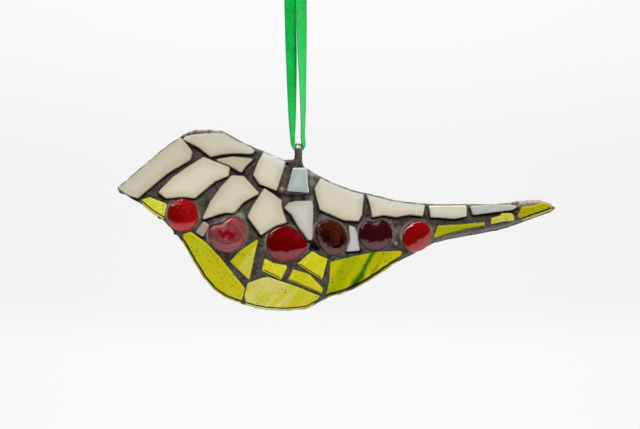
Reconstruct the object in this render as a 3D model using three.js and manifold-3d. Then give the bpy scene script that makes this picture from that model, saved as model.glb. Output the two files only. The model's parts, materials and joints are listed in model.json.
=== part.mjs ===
// Mosaic bird ornament: cut glass tiles and domed glass drops bedded in grout, hung on a satin ribbon.
// Millimetres, +Z up, the bird's face towards -Y. The origin is the place under the ribbon's knot
// where a hook carries the ornament.

import * as THREE from 'three';
import { mergeVertices } from 'three/addons/utils/BufferGeometryUtils.js';
import Module from 'manifold-3d';

const wasm = await Module();
wasm.setup();

// Driving dimensions. A place on the bird's face is [right, up] from the centre of the hanging eye,
// and a height runs towards the viewer from the plane that the glass lies on.
const GLASS_THICKNESS = 3.0;
const GLASS_PROUD = 0.8;
const GROUT_FRONT = GLASS_THICKNESS - GLASS_PROUD;
const GROUT_BACK = -3.0;
const GROUT_EDGE = 0.8;
const CLEARANCE = 0.3;
const RIM_STEP = 3.0;
const WHITE_INSET = 0.2;
const YELLOW_INSET = 0.2;
const DROP_EDGE = 2.6;
const DROP_RIM_ANGLE = THREE.MathUtils.degToRad(47);
const MOUND_FRONT = 3.3;
const MOUND_LIFT = 1.2;
const SHOULDER_WIDTH = 2.9;
const SHOULDER_TOP = -1.4;
const SHOULDER_FOOT = -4.0;
const SHOULDER_DEPTH = 5.6;
const EYE_RADIUS = 2.2;
const EYE_WIRE = 0.8;
const EYE_SIDES = [8, 24];
const HOOK_RIGHT = -0.8;
const HOOK_UP = 53.0;
const RIBBON_WIDTH = 3.1;
const RIBBON_THICKNESS = 0.3;
const GATHERED_WIDTH = 1.4;
const GATHERED_THICKNESS = 0.6;
const GATHERED_UP = 2.0;
const OPEN_UP = 12.0;
const LEFT_FLAT_UP = 34.0;
const RIGHT_FLAT_UP = 44.0;
const KNOT_GATHER = 6.0;
const KNOT_WRAP_RADIUS = 1.4;
const KNOT_WRAP_THICKNESS = 1.1;
const KNOT_WRAP_TILT = 0.5;
const KNOT_WRAP_SIDES = [8, 16];
const KNOT_CORE_RADIUS = 1.6;
const KNOT_CORE_SIDES = [12, 8];
const KNOT_HEIGHT = 4.4;
const KNOT_FLATNESS = 0.85;
const TAIL_WIDTH = 2.6;
const TAIL_LENGTH = 9.0;
const TAIL_LEANS = [-0.38, 0.26];

// The bird's rim, as two runs from the beak's tip to the tail's tip.
const TOP_RIM = rimRun(-1, [
  [-51.95, -10.7], [-51.3, -9.5], [-45.9, -5.0], [-38.7, 1.1], [-34.0, 4.4], [-29.5, 6.4], [-25.2, 6.1],
  [-21.6, 6.1], [-18.7, 4.4], [-12.5, 1.4], [-9.6, 0.2], [-3.5, -2.3], [1.5, -4.0], [6.4, -7.0],
  [11.4, -9.2], [15.6, -10.8], [22.8, -12.4], [27.2, -13.6], [32.5, -14.3], [40.4, -14.8], [48.0, -14.7],
  [56.4, -14.8], [64.6, -13.8], [70.2, -13.6], [72.1, -14.5], [73.5, -16.0],
]);
const BOTTOM_RIM = rimRun(1, [
  [-51.95, -10.7], [-51.0, -11.9], [-45.9, -14.1], [-42.3, -17.1], [-38.9, -19.2], [-35.7, -22.6],
  [-32.3, -27.0], [-30.1, -31.2], [-27.5, -35.4], [-24.8, -38.8], [-21.1, -41.5], [-16.6, -43.2],
  [-10.4, -44.9], [-3.5, -45.3], [0.8, -45.0], [3.9, -44.3], [7.5, -41.8], [11.4, -40.8], [17.4, -38.4],
  [23.4, -34.8], [27.6, -31.8], [31.9, -29.6], [37.8, -26.4], [42.4, -25.0], [52.6, -23.1], [59.2, -21.7],
  [67.6, -18.7], [72.7, -16.9], [73.5, -16.0],
]);
const BEAK_TIP = -51.95;
const TAIL_TIP = 73.5;

// How each kind of sheet glass is cut: the rounding of its corners and the bevel of its edges.
const CUTS = {
  white: { round: 0.3, bevel: 0.2, colour: '#d6d0ba' },
  blue: { round: 0.3, bevel: 0.2, colour: '#aabec3' },
  grey: { round: 0.3, bevel: 0.2, colour: '#c4c4c4' },
  yellow: { round: 0.3, bevel: 0.2, colour: '#c8c31c' },
};

// Every tile by its corners, clockwise. Where a tile lies at the bird's edge, it follows the rim.
const TILES = [
  { name: 'beak_tile', cut: 'white', corners: [
    ...along(TOP_RIM, -51.7, -33.9, WHITE_INSET), [-32.3, 2.8], [-30.3, 0.2], [-30.8, -2.1], [-37.3, -6.0],
    [-45.8, -13.1], [-51.1, -11.6]] },
  { name: 'crown_tile', cut: 'white', corners: [
    [-33.2, 3.7], [-32.0, 4.6], [-29.2, 5.2], [-23.5, 5.8], ...along(TOP_RIM, -21.2, -13.8, WHITE_INSET),
    [-12.4, 0.3], [-13.2, -0.5], [-18.0, -0.3], [-21.3, -0.5], [-25.1, -1.3], [-28.5, 1.4]] },
  { name: 'brow_tile', cut: 'white', corners: [
    [-24.1, -2.1], [-18.6, -1.2], [-12.6, -1.9], [-15.1, -4.1], [-16.2, -5.9], [-19.8, -3.8]] },
  { name: 'cheek_tile', cut: 'white', corners: [
    [-27.1, -1.3], [-24.0, -2.6], [-19.6, -4.3], [-19.9, -6.7], [-23.8, -8.3], [-29.5, -13.1],
    [-33.1, -12.8], [-37.8, -13.1], [-40.1, -11.4], [-35.8, -7.0], [-30.7, -3.6]] },
  { name: 'throat_tile', cut: 'white', corners: [
    [-19.1, -6.6], [-15.6, -6.8], [-11.1, -11.8], [-15.8, -14.3], [-18.3, -17.4], [-21.0, -17.3],
    [-27.6, -19.3], [-25.2, -14.1], [-22.1, -9.8]] },
  { name: 'breast_tile', cut: 'white', corners: [
    [-9.8, -10.2], [-4.9, -13.5], [-4.7, -15.9], [-3.3, -20.1], [-6.4, -21.0], [-10.7, -23.7],
    [-14.6, -18.4], [-13.2, -15.5]] },
  { name: 'nape_tile', cut: 'white', corners: [
    ...along(TOP_RIM, -9.9, -3.7, WHITE_INSET), [-3.9, -4.4], [-6.1, -11.0], [-11.1, -9.1], [-12.9, -6.4],
    [-11.8, -3.3]] },
  { name: 'blue_tile', cut: 'blue', lift: MOUND_LIFT, corners: [
    [-1.5, -4.5], [1.8, -4.5], [2.5, -5.2], [2.7, -9.0], [3.1, -11.5], [-3.3, -11.0]] },
  { name: 'wedge_tile', cut: 'grey', corners: [
    [-2.9, -14.5], [-0.7, -13.9], [3.9, -13.8], [4.3, -15.3], [4.0, -25.0], [2.8, -25.1], [-0.1, -21.3],
    [-2.1, -17.6], [-4.1, -15.9]] },
  { name: 'back_tile', cut: 'white', corners: [
    ...along(TOP_RIM, 6.5, 18.8, WHITE_INSET), [18.2, -17.9], [17.2, -19.7], [12.9, -19.4], [6.1, -16.4],
    [4.5, -10.5]] },
  { name: 'rump_tile', cut: 'white', corners: [
    ...along(TOP_RIM, 19.4, 36.2, WHITE_INSET), [35.6, -18.3], [31.6, -17.8], [28.0, -18.5], [24.5, -18.0],
    [21.0, -18.6], [20.5, -15.3]] },
  { name: 'tail_tile_front', cut: 'white', corners: [
    [37.2, -15.3], [48.0, -15.2], [48.1, -18.3], [44.7, -18.9], [37.8, -18.5]] },
  { name: 'tail_tile_rear', cut: 'white', corners: [
    [48.9, -15.3], [56.1, -15.0], [60.1, -15.0], [63.0, -15.4], [61.0, -16.5], [49.9, -17.9]] },
  { name: 'chip_tile', cut: 'grey', corners: [
    [-27.1, -19.7], [-25.4, -20.8], [-27.2, -24.2], [-29.4, -22.7]] },
  { name: 'side_tile', cut: 'grey', corners: [
    [14.3, -20.8], [16.2, -21.4], [16.8, -23.6], [17.6, -28.1], [13.6, -28.4], [14.6, -25.2]] },
  { name: 'yellow_chin_tile', cut: 'yellow', corners: [
    [-45.0, -13.6], [-42.5, -12.8], [-37.5, -14.8], ...along(BOTTOM_RIM, -38.6, -44.6, YELLOW_INSET)] },
  { name: 'yellow_chest_tile', cut: 'yellow', corners: [
    [-33.0, -23.4], [-30.8, -22.6], [-26.4, -25.7], [-21.9, -30.5], [-15.2, -38.9],
    ...along(BOTTOM_RIM, -16.4, -33.2, YELLOW_INSET)] },
  { name: 'yellow_triangle_tile', cut: 'yellow', corners: [
    [-11.4, -24.6], [-14.0, -36.6], [-19.6, -31.2], [-16.4, -27.9]] },
  { name: 'yellow_small_tile', cut: 'yellow', corners: [
    [-9.7, -30.2], [-7.2, -31.6], [-3.4, -32.2], [-3.2, -33.0], [-5.0, -36.4], [-10.5, -33.8]] },
  { name: 'yellow_belly_tile', cut: 'yellow', corners: [
    [-14.5, -37.4], [-10.4, -35.8], [-8.5, -35.6], [-0.3, -38.4], [6.2, -41.0], [5.4, -42.2],
    ...along(BOTTOM_RIM, 3.4, -15.0, YELLOW_INSET), [-15.5, -40.7]] },
  { name: 'yellow_kite_tile', cut: 'yellow', corners: [
    [3.9, -28.2], [6.1, -29.5], [8.4, -30.4], [6.8, -36.4], [3.1, -34.2], [-0.4, -31.8]] },
  { name: 'yellow_strip_tile', cut: 'yellow', corners: [
    [-1.6, -33.4], [3.2, -34.8], [7.1, -38.9], [6.6, -40.4], [-3.0, -36.4]] },
  { name: 'yellow_streaked_tile', cut: 'yellow', corners: [
    [9.0, -31.3], [12.4, -30.5], [21.4, -28.4], [29.0, -28.1], [29.7, -28.6],
    ...along(BOTTOM_RIM, 28.2, 7.8, YELLOW_INSET), [8.8, -36.7]] },
  { name: 'yellow_tail_tile_front', cut: 'yellow', corners: [
    [39.8, -20.9], [46.2, -20.6], [53.4, -19.9], [53.0, -21.2], [47.5, -22.1], [42.4, -23.5],
    [38.2, -25.1]] },
  { name: 'yellow_tail_tile_middle', cut: 'yellow', corners: [
    [55.0, -18.7], [57.6, -18.1], [57.9, -17.4], [60.9, -17.3], [61.6, -18.1], [61.7, -19.5], [58.7, -19.7],
    [54.9, -20.6]] },
  { name: 'yellow_tail_tile_tip', cut: 'yellow', corners: [
    [62.4, -18.2], [63.9, -15.6], [67.3, -15.2], [69.9, -14.3], [71.6, -14.9],
    ...along(BOTTOM_RIM, 72.8, 64.6, 4 * YELLOW_INSET)] },
];

// Each drop by its place, its half width and half height, its lean in degrees, and where its outline
// departs from an ellipse: angles, anticlockwise from the right, each with a share of the ellipse's reach.
const DROPS = [
  { name: 'red_drop', centre: [-33.0, -17.9], half: [4.45, 4.55], lean: 0, colour: '#960404',
    outline: [[0, 1], [14, 0.93], [30, 1], [90, 1.04], [180, 1], [270, 1.02]] },
  { name: 'pink_drop', centre: [-20.3, -23.6], half: [5.4, 5.1], lean: 0, colour: '#963c41',
    outline: [[15, 1.03], [40, 1.1], [75, 1.01], [95, 0.84], [118, 0.66], [141, 0.91], [165, 1.03],
      [186, 1], [218, 0.97], [266, 1], [312, 0.96], [354, 0.95]] },
  { name: 'deep_red_drop', centre: [-3.2, -26.3], half: [5.8, 5.2], lean: 0, colour: '#780208',
    outline: [[0, 1], [15, 0.92], [39, 0.86], [74, 0.96], [96, 1.03], [123, 1.08], [148, 1.09],
      [171, 1.03], [193, 1.02], [222, 1.05], [250, 0.99], [284, 0.91], [323, 0.9], [347, 0.99]] },
  { name: 'brown_drop', centre: [9.3, -24.7], half: [4.55, 5.1], lean: 20, colour: '#501e14',
    outline: [[13, 1.02], [44, 1.04], [80, 1.02], [115, 1.06], [140, 1.15], [157, 1.07], [185, 0.81],
      [226, 0.79], [260, 0.93], [290, 1.02], [315, 1.05], [343, 1.02]] },
  { name: 'burgundy_drop', centre: [22.2, -23.5], half: [4.75, 4.4], lean: 0, colour: '#3c050f',
    outline: [[6, 0.99], [39, 1.04], [69, 1.04], [86, 0.82], [106, 0.75], [125, 1.05], [144, 1.07],
      [175, 1.06], [208, 1.06], [238, 1.08], [270, 1.03], [300, 1.02], [334, 1.02]] },
  { name: 'rump_drop', centre: [33.9, -24.2], half: [4.0, 4.5], lean: -15, colour: '#8c0208',
    outline: [[18, 1.05], [54, 1.04], [90, 1], [152, 1.07], [187, 1.02], [230, 1.01], [286, 0.95],
      [317, 0.97]] },
];
// A drop's foot, and the rings of its crown, as shares of its radius.
const DROP_FOOT = 0.86;
const DROP_RINGS = [1, 0.86, 0.62, 0.32, 0];
const DROP_SIDES = 24;

// The raised grout around the blue tile.
const MOUND = [
  [-3.4, -2.2], [-1.2, -1.9], [1.2, -2.2], [1.6, -4.1], [2.9, -5.2], [3.7, -11.8], [-5.8, -11.5],
  [-4.2, -5.0],
];

// The ribbon's run from its left end under the knot, through the eye, to its right end.
const RIBBON_RUN = [
  [-1.5, 52.7], [-2.1, 50.0], [-2.35, 46.5], [-2.3, 42.0], [-2.15, 36.0], [-2.0, 30.0], [-1.88, 24.0],
  [-1.8, 18.0], [-1.72, 12.5], [-1.62, 8.0], [-1.52, 5.0], [-1.45, 3.2], [-1.4, 2.1], [-0.95, 1.0], [0, 0.55],
  [0.95, 1.0], [1.4, 2.1], [1.4, 3.2], [1.4, 5.0], [1.4, 8.0], [1.38, 12.5], [1.32, 18.0], [1.24, 24.0],
  [1.15, 30.0], [1.05, 36.0], [0.95, 42.0], [0.8, 46.5], [0.45, 50.0], [-0.1, 52.7],
];
const RIBBON_SECTION = [
  [0.5, 0.2], [0.42, 0.5], [-0.42, 0.5], [-0.5, 0.2], [-0.5, -0.2], [-0.42, -0.5], [0.42, -0.5], [0.5, -0.2],
];
const STEPS_PER_POINT = 2;

// A rim: its curve and the side on which the bird lies, -1 below it and 1 above it.
function rimRun(inside, points) {
  return { inside, curve: new THREE.SplineCurve(points.map(([x, y]) => new THREE.Vector2(x, y))) };
}

// The place on a rim at a distance to the right, moved into the bird by an inset.
function rimPoint(rim, right, inset) {
  let low = 0;
  let high = 1;
  for (let halving = 0; halving < 40; halving += 1) {
    const middle = (low + high) / 2;
    if (rim.curve.getPoint(middle).x < right) low = middle;
    else high = middle;
  }
  const place = rim.curve.getPoint(low);
  const tangent = rim.curve.getTangent(low);
  return [place.x - rim.inside * inset * tangent.y, place.y + rim.inside * inset * tangent.x];
}

// The stretch of a rim between two distances to the right, in the direction from the first to the second.
function along(rim, from, to, inset = 0) {
  const low = Math.min(from, to);
  const high = Math.max(from, to);
  const stations = [low];
  for (let k = Math.ceil((low + RIM_STEP / 3) / RIM_STEP); k * RIM_STEP < high - RIM_STEP / 3; k += 1) {
    stations.push(k * RIM_STEP);
  }
  stations.push(high);
  if (from > to) stations.reverse();
  return stations.map((right) => rimPoint(rim, right, inset));
}

// A closed outline with its sharp corners rounded. Slight bends, as along a rim, stay as they are.
function rounded(corners, radius) {
  const slightTurn = 0.35;
  const arcStep = 0.9;
  const edgeShare = 0.45;
  return corners.flatMap(([x, y], i) => {
    const corner = new THREE.Vector2(x, y);
    const back = new THREE.Vector2(...corners.at(i - 1)).sub(corner);
    const ahead = new THREE.Vector2(...corners[(i + 1) % corners.length]).sub(corner);
    const turn = Math.PI - Math.acos(back.dot(ahead) / (back.length() * ahead.length()));
    if (turn < slightTurn) return [[x, y]];
    const room = edgeShare * Math.min(back.length(), ahead.length());
    const reach = Math.min(radius * Math.tan(turn / 2), room);
    const start = corner.clone().add(back.setLength(reach));
    const end = corner.clone().add(ahead.setLength(reach));
    const centre = start.clone().add(end).sub(corner).sub(corner);
    centre.setLength(reach / Math.sin(turn / 2)).add(corner);
    const pieces = Math.ceil(turn / arcStep);
    const swing = -Math.sign(back.cross(ahead)) * (turn / pieces);
    const arc = [];
    for (let k = 0; k <= pieces; k += 1) arc.push(start.clone().rotateAround(centre, k * swing).toArray());
    return arc;
  });
}

// An outline moved outwards all round by a distance.
function grown(corners, distance) {
  const clockwise = THREE.ShapeUtils.area(corners.map(([x, y]) => ({ x, y }))) < 0;
  const outward = clockwise ? distance : -distance;
  const sharpest = 0.5;
  return corners.map(([x, y], i) => {
    const corner = new THREE.Vector2(x, y);
    const before = corner.clone().sub(new THREE.Vector2(...corners.at(i - 1))).normalize();
    const after = new THREE.Vector2(...corners[(i + 1) % corners.length]).sub(corner).normalize();
    const side = new THREE.Vector2(-before.y - after.y, before.x + after.x).normalize();
    const mitre = Math.max(sharpest, side.dot(new THREE.Vector2(-before.y, before.x)));
    return [x + (outward * side.x) / mitre, y + (outward * side.y) / mitre];
  });
}

// A plate between two heights, with both of its edges bevelled.
function plate(outline, low, high, bevel = 0) {
  const shape = new THREE.Shape(outline.map(([x, y]) => new THREE.Vector2(x, y)));
  const geometry = new THREE.ExtrudeGeometry(shape, {
    depth: high - low - 2 * bevel,
    bevelEnabled: bevel > 0,
    bevelThickness: bevel,
    bevelSize: bevel,
    bevelOffset: -bevel,
    bevelSegments: 1,
  });
  return geometry.translate(0, 0, low + bevel);
}

// A solid for joining and cutting, from a closed geometry.
function solidOf(geometry) {
  const bare = geometry.clone();
  bare.deleteAttribute('normal');
  bare.deleteAttribute('uv');
  const merged = mergeVertices(bare, 1e-4);
  return new wasm.Manifold(new wasm.Mesh({
    numProp: 3,
    vertProperties: new Float32Array(merged.attributes.position.array),
    triVerts: new Uint32Array(merged.index.array),
  }));
}

// The geometry of a joined or cut solid.
function geometryOf(solid) {
  const { vertProperties, triVerts } = solid.getMesh();
  const geometry = new THREE.BufferGeometry();
  geometry.setAttribute('position', new THREE.BufferAttribute(vertProperties, 3));
  geometry.setIndex(new THREE.BufferAttribute(triVerts, 1));
  return geometry;
}

function tileGeometry({ cut, corners, lift = 0 }) {
  const { round, bevel } = CUTS[cut];
  return plate(rounded(corners, round), lift, lift + GLASS_THICKNESS, bevel);
}

// The bed of a tile: a well with straight walls, open to the front.
function tileBed({ corners, lift = 0 }) {
  return plate(grown(corners, CLEARANCE), lift - CLEARANCE, lift + 2 * GLASS_THICKNESS);
}

// The share of its ellipse's reach that a drop's outline has at an angle in degrees.
function outlineShare(outline, angle) {
  const [firstAngle, firstShare] = outline[0];
  const [lastAngle, lastShare] = outline.at(-1);
  const ring = [[lastAngle - 360, lastShare], ...outline, [firstAngle + 360, firstShare]];
  const next = ring.findIndex(([end]) => end > angle);
  const [start, from] = ring[next - 1];
  const [end, to] = ring[next];
  return THREE.MathUtils.lerp(from, to, (angle - start) / (end - start));
}

// A poured drop, or its bed when it is given room all round: a foot that widens to an edge, and a crown
// that is a shallow cap.
function dropGeometry({ centre, half, lean, outline }, room = 0) {
  const size = (half[0] + half[1]) / 2;
  const capCentre = 1 / Math.tan(DROP_RIM_ANGLE);
  const capRadius = 1 / Math.sin(DROP_RIM_ANGLE);
  const capHeight = (share) => size * (Math.sqrt(capRadius ** 2 - share ** 2) - capCentre);
  const profile = [new THREE.Vector2(0, -room), new THREE.Vector2(DROP_FOOT, -room)];
  for (const share of DROP_RINGS) {
    profile.push(new THREE.Vector2(share, DROP_EDGE + room + capHeight(share)));
  }
  const geometry = new THREE.LatheGeometry(profile, DROP_SIDES)
    .rotateX(Math.PI / 2)
    .scale(half[0], half[1], 1)
    .rotateZ(THREE.MathUtils.degToRad(lean));
  const places = geometry.attributes.position;
  const flat = new THREE.Vector2();
  for (let i = 0; i < places.count; i += 1) {
    flat.set(places.getX(i), places.getY(i));
    const share = outlineShare(outline, THREE.MathUtils.radToDeg(flat.angle()) % 360);
    flat.multiplyScalar(share + room / size);
    places.setXY(i, flat.x, flat.y);
  }
  return geometry.translate(...centre, 0);
}

// The hanging eye: a ring of wire that stands edge-on to the front.
function eyeGeometry(room = 0) {
  return new THREE.TorusGeometry(EYE_RADIUS, EYE_WIRE + room, ...EYE_SIDES).rotateY(Math.PI / 2);
}

// The grout: the bird's slab with the mound and the eye's shoulder on it, less the beds of all that it holds.
function groutGeometry() {
  const outline = [
    ...along(TOP_RIM, BEAK_TIP, TAIL_TIP),
    ...along(BOTTOM_RIM, TAIL_TIP, BEAK_TIP).slice(1, -1),
  ];
  const shoulder = new THREE.BoxGeometry(SHOULDER_WIDTH, SHOULDER_TOP - SHOULDER_FOOT, SHOULDER_DEPTH)
    .translate(0, (SHOULDER_TOP + SHOULDER_FOOT) / 2, 0);
  let grout = solidOf(plate(outline, GROUT_BACK, GROUT_FRONT, GROUT_EDGE))
    .add(solidOf(plate(rounded(MOUND, GROUT_EDGE), GROUT_BACK + GROUT_EDGE, MOUND_FRONT, GROUT_EDGE / 2)))
    .add(solidOf(shoulder));
  for (const tile of TILES) grout = grout.subtract(solidOf(tileBed(tile)));
  for (const drop of DROPS) grout = grout.subtract(solidOf(dropGeometry(drop, CLEARANCE)));
  return geometryOf(grout.subtract(solidOf(eyeGeometry(CLEARANCE))));
}

// The ribbon's path. Its frames carry the ribbon's size and turn: edge-on and gathered in the eye,
// flat to the front further up, and gathered again where it goes into the knot.
class RibbonPath extends THREE.CatmullRomCurve3 {
  getSpacedPoints(steps) {
    return this.getPoints(steps);
  }

  computeFrenetFrames(steps) {
    const frames = { tangents: [], normals: [], binormals: [] };
    const depth = new THREE.Vector3(0, 0, 1);
    for (let step = 0; step <= steps; step += 1) {
      const place = this.getPoint(step / steps);
      const tangent = this.getTangent(step / steps);
      const flatUp = step < steps / 2 ? LEFT_FLAT_UP : RIGHT_FLAT_UP;
      const turn = (Math.PI / 2) * THREE.MathUtils.smoothstep(place.y, GATHERED_UP, flatUp);
      const open = THREE.MathUtils.smoothstep(place.y, GATHERED_UP, OPEN_UP)
        - THREE.MathUtils.smoothstep(place.y, HOOK_UP - KNOT_GATHER, HOOK_UP);
      const width = THREE.MathUtils.lerp(GATHERED_WIDTH, RIBBON_WIDTH, open);
      const thickness = THREE.MathUtils.lerp(GATHERED_THICKNESS, RIBBON_THICKNESS, open);
      const across = new THREE.Vector3().crossVectors(depth, tangent).multiplyScalar(Math.sin(turn));
      const normal = across.addScaledVector(depth, Math.cos(turn)).normalize();
      const binormal = new THREE.Vector3().crossVectors(tangent, normal);
      frames.tangents.push(tangent);
      frames.normals.push(normal.multiplyScalar(width));
      frames.binormals.push(binormal.multiplyScalar(thickness));
    }
    return frames;
  }
}

function ribbonGeometry() {
  const run = RIBBON_RUN.map(([right, up]) => new THREE.Vector3(right, up, 0));
  const section = new THREE.Shape(RIBBON_SECTION.map(([x, y]) => new THREE.Vector2(x, y)));
  return new THREE.ExtrudeGeometry(section, {
    steps: STEPS_PER_POINT * (run.length - 1),
    extrudePath: new RibbonPath(run),
  });
}

// The knot: a fat wrap around the gathered ends, and the two ends standing up out of it.
function knotGeometry() {
  const wrap = new THREE.TorusGeometry(KNOT_WRAP_RADIUS, KNOT_WRAP_THICKNESS, ...KNOT_WRAP_SIDES)
    .rotateX(Math.PI / 2)
    .rotateZ(KNOT_WRAP_TILT);
  const core = new THREE.SphereGeometry(KNOT_CORE_RADIUS, ...KNOT_CORE_SIDES)
    .scale(1, KNOT_HEIGHT / (2 * KNOT_CORE_RADIUS), 1);
  const halfWidth = TAIL_WIDTH / 2;
  const tailOutline = [
    [-halfWidth, 0], [-halfWidth, TAIL_LENGTH], [halfWidth, TAIL_LENGTH - halfWidth], [halfWidth, 0],
  ];
  let knot = solidOf(wrap.scale(1, 1, KNOT_FLATNESS)).add(solidOf(core.scale(1, 1, KNOT_FLATNESS)));
  for (const lean of TAIL_LEANS) {
    const tail = plate(tailOutline, -RIBBON_THICKNESS, RIBBON_THICKNESS)
      .translate(0, 0, 2 * RIBBON_THICKNESS * Math.sign(lean))
      .rotateZ(lean);
    knot = knot.add(solidOf(tail));
  }
  return geometryOf(knot).translate(HOOK_RIGHT, HOOK_UP + KNOT_HEIGHT / 2, 0);
}

function piece(name, geometry, colour, roughness, metalness = 0) {
  const material = new THREE.MeshStandardMaterial({ color: colour, roughness, metalness });
  const mesh = new THREE.Mesh(geometry, material);
  mesh.name = name;
  return mesh;
}

// The ornament is built face up, right and up as on its face, and then stood up below the hook.
const ornament = new THREE.Group();
ornament.add(piece('grout_body', groutGeometry(), '#46413c', 0.9));
for (const tile of TILES) ornament.add(piece(tile.name, tileGeometry(tile), CUTS[tile.cut].colour, 0.2));
for (const drop of DROPS) ornament.add(piece(drop.name, dropGeometry(drop), drop.colour, 0.05));
ornament.add(piece('hanging_eye', eyeGeometry(), '#c8c8c6', 0.25, 1));
ornament.add(piece('ribbon', ribbonGeometry(), '#1eb950', 0.5));
ornament.add(piece('ribbon_knot', knotGeometry(), '#1eb950', 0.5));
ornament.rotation.x = Math.PI / 2;
ornament.position.set(-HOOK_RIGHT, 0, -HOOK_UP);

const part = new THREE.Group();
part.add(ornament);

export default part;
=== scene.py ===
# Mosaic bird ornament: cut glass tiles and domed glass drops in dark grout, hung on a green satin ribbon.
# The frame's solids give every place and size, and this script gives the pieces their finished surfaces.

import json
import math
import random

import bpy
import numpy as np
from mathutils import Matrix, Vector


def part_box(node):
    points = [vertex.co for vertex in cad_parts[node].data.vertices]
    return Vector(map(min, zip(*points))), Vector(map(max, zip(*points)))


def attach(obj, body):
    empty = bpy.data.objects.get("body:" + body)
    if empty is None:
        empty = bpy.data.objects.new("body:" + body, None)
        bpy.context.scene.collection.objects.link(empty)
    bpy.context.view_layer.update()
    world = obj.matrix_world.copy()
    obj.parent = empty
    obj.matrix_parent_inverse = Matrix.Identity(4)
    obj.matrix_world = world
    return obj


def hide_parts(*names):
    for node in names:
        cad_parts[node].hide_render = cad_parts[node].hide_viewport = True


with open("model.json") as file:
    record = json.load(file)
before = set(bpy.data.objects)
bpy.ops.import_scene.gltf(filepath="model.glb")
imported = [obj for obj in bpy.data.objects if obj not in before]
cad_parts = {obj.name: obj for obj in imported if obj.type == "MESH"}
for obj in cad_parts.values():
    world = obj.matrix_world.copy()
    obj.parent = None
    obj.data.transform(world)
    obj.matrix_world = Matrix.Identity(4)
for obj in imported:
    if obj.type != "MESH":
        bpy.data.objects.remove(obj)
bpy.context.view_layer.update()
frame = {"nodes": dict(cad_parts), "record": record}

bpy.ops.object.select_all(action="DESELECT")

# Places on the bird are [right, up, height] in millimetres from the centre of the hanging eye.
# Up is the world's +Z and height runs towards the viewer, along -Y.
MM = 0.001
EYE = sum(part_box("hanging_eye"), Vector()) / 2
BODY = "root"
JOIN_GAP = 0.002 * MM
# Lengths that divide something are at least this many millimetres.
LEAST_LENGTH = 1e-6
SLOTS = {part["node"]: part["material_slot"] for part in frame["record"]["subparts"]}
WHITE_TILES = [
    "beak_tile", "crown_tile", "brow_tile", "cheek_tile", "throat_tile", "breast_tile", "nape_tile",
    "back_tile", "rump_tile", "tail_tile_front", "tail_tile_rear",
]
GREY_TILES = ["wedge_tile", "chip_tile", "side_tile"]
YELLOW_TILES = [node for node in SLOTS if node.startswith("yellow_")]
DROPS = [node for node in SLOTS if node.endswith("_drop")]


def place(right, up, height=0.0):
    """A place on the bird as a point of the frame, in metres."""
    return EYE + Vector((right, -height, up)) * MM


# Camera
VIEW_CENTRE = place(6.2, -17.75, 3.0)
VIEW_WIDTH = 182.7 * MM
VIEW_LENS = 100
SENSOR_WIDTH = 36

bpy.ops.object.camera_add()
camera = bpy.context.object
camera.data.sensor_width = SENSOR_WIDTH
camera.data.lens = VIEW_LENS
camera.location = VIEW_CENTRE + Vector((0, -VIEW_WIDTH * VIEW_LENS / SENSOR_WIDTH, 0))
camera.rotation_euler = (math.radians(90), 0, 0)
bpy.context.scene.camera = camera
bpy.context.scene.view_settings.view_transform = "Standard"


# Work on one piece
def select_only(piece):
    bpy.ops.object.select_all(action="DESELECT")
    piece.select_set(True)
    bpy.context.view_layer.objects.active = piece


def edit(piece, kind="FACE"):
    """Opens a piece in edit mode with the faces or vertices that are selected in its mesh."""
    select_only(piece)
    bpy.ops.object.mode_set(mode="EDIT")
    bpy.ops.mesh.select_mode(type=kind)


def edit_whole(piece):
    edit(piece)
    bpy.ops.mesh.select_all(action="SELECT")


def leave_edit():
    bpy.ops.object.mode_set(mode="OBJECT")


def shape_with(piece, kind, **settings):
    """Adds a modifier with its settings and applies it."""
    modifier = piece.modifiers.new(kind.title(), kind)
    for setting, value in settings.items():
        setattr(modifier, setting, value)
    select_only(piece)
    bpy.ops.object.modifier_apply(modifier=modifier.name)


def new_piece(name, mesh):
    piece = bpy.data.objects.new(name, mesh)
    bpy.context.scene.collection.objects.link(piece)
    return piece


def merged_copy(node, name):
    """A copy of a solid, with its loose triangles joined."""
    piece = new_piece(name, frame["nodes"][node].data.copy())
    piece.data.materials.clear()
    edit_whole(piece)
    bpy.ops.mesh.remove_doubles(threshold=JOIN_GAP)
    leave_edit()
    return piece


def joined(pieces, name):
    bpy.ops.object.select_all(action="DESELECT")
    for piece in pieces:
        piece.select_set(True)
    bpy.context.view_layer.objects.active = pieces[0]
    bpy.ops.object.join()
    pieces[0].name = name
    return pieces[0]


def roughen(piece, size, depth):
    """Moves a surface in and out along its normals by soft noise of a size and a depth in millimetres."""
    texture = bpy.data.textures.new(f"{piece.name}_{size}", "CLOUDS")
    texture.noise_scale = size * MM
    strength = 2 * depth * MM
    shape_with(piece, "DISPLACE", texture=texture, texture_coords="LOCAL", strength=strength, mid_level=0.5)


def smooth_over(piece, sharpest=None):
    """Shades a piece smoothly, all over or at edges up to an angle in degrees."""
    select_only(piece)
    if sharpest is None:
        bpy.ops.object.shade_smooth()
    else:
        bpy.ops.object.shade_smooth_by_angle(angle=math.radians(sharpest))


def bird_places(piece):
    """The vertices of a piece as rows of right, up and height."""
    flat = np.empty(3 * len(piece.data.vertices), np.float32)
    piece.data.vertices.foreach_get("co", flat)
    x, y, z = ((flat.reshape(-1, 3) - np.array(EYE)) / MM).T
    return np.column_stack([x, z, -y])


def move_to(piece, places):
    right, up, height = places.T
    world = np.column_stack([right, -height, up]) * MM + np.array(EYE)
    piece.data.vertices.foreach_set("co", world.astype(np.float32).ravel())
    piece.data.update()


def mark(piece, name, values):
    """Stores one value for each vertex, which a material reads by its name."""
    piece.data.attributes.new(name, "FLOAT", "POINT").data.foreach_set("value", values.astype(np.float32))


def smoothstep(low, high, values):
    share = np.clip((values - low) / (high - low), 0, 1)
    return share * share * (3 - 2 * share)


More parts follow.
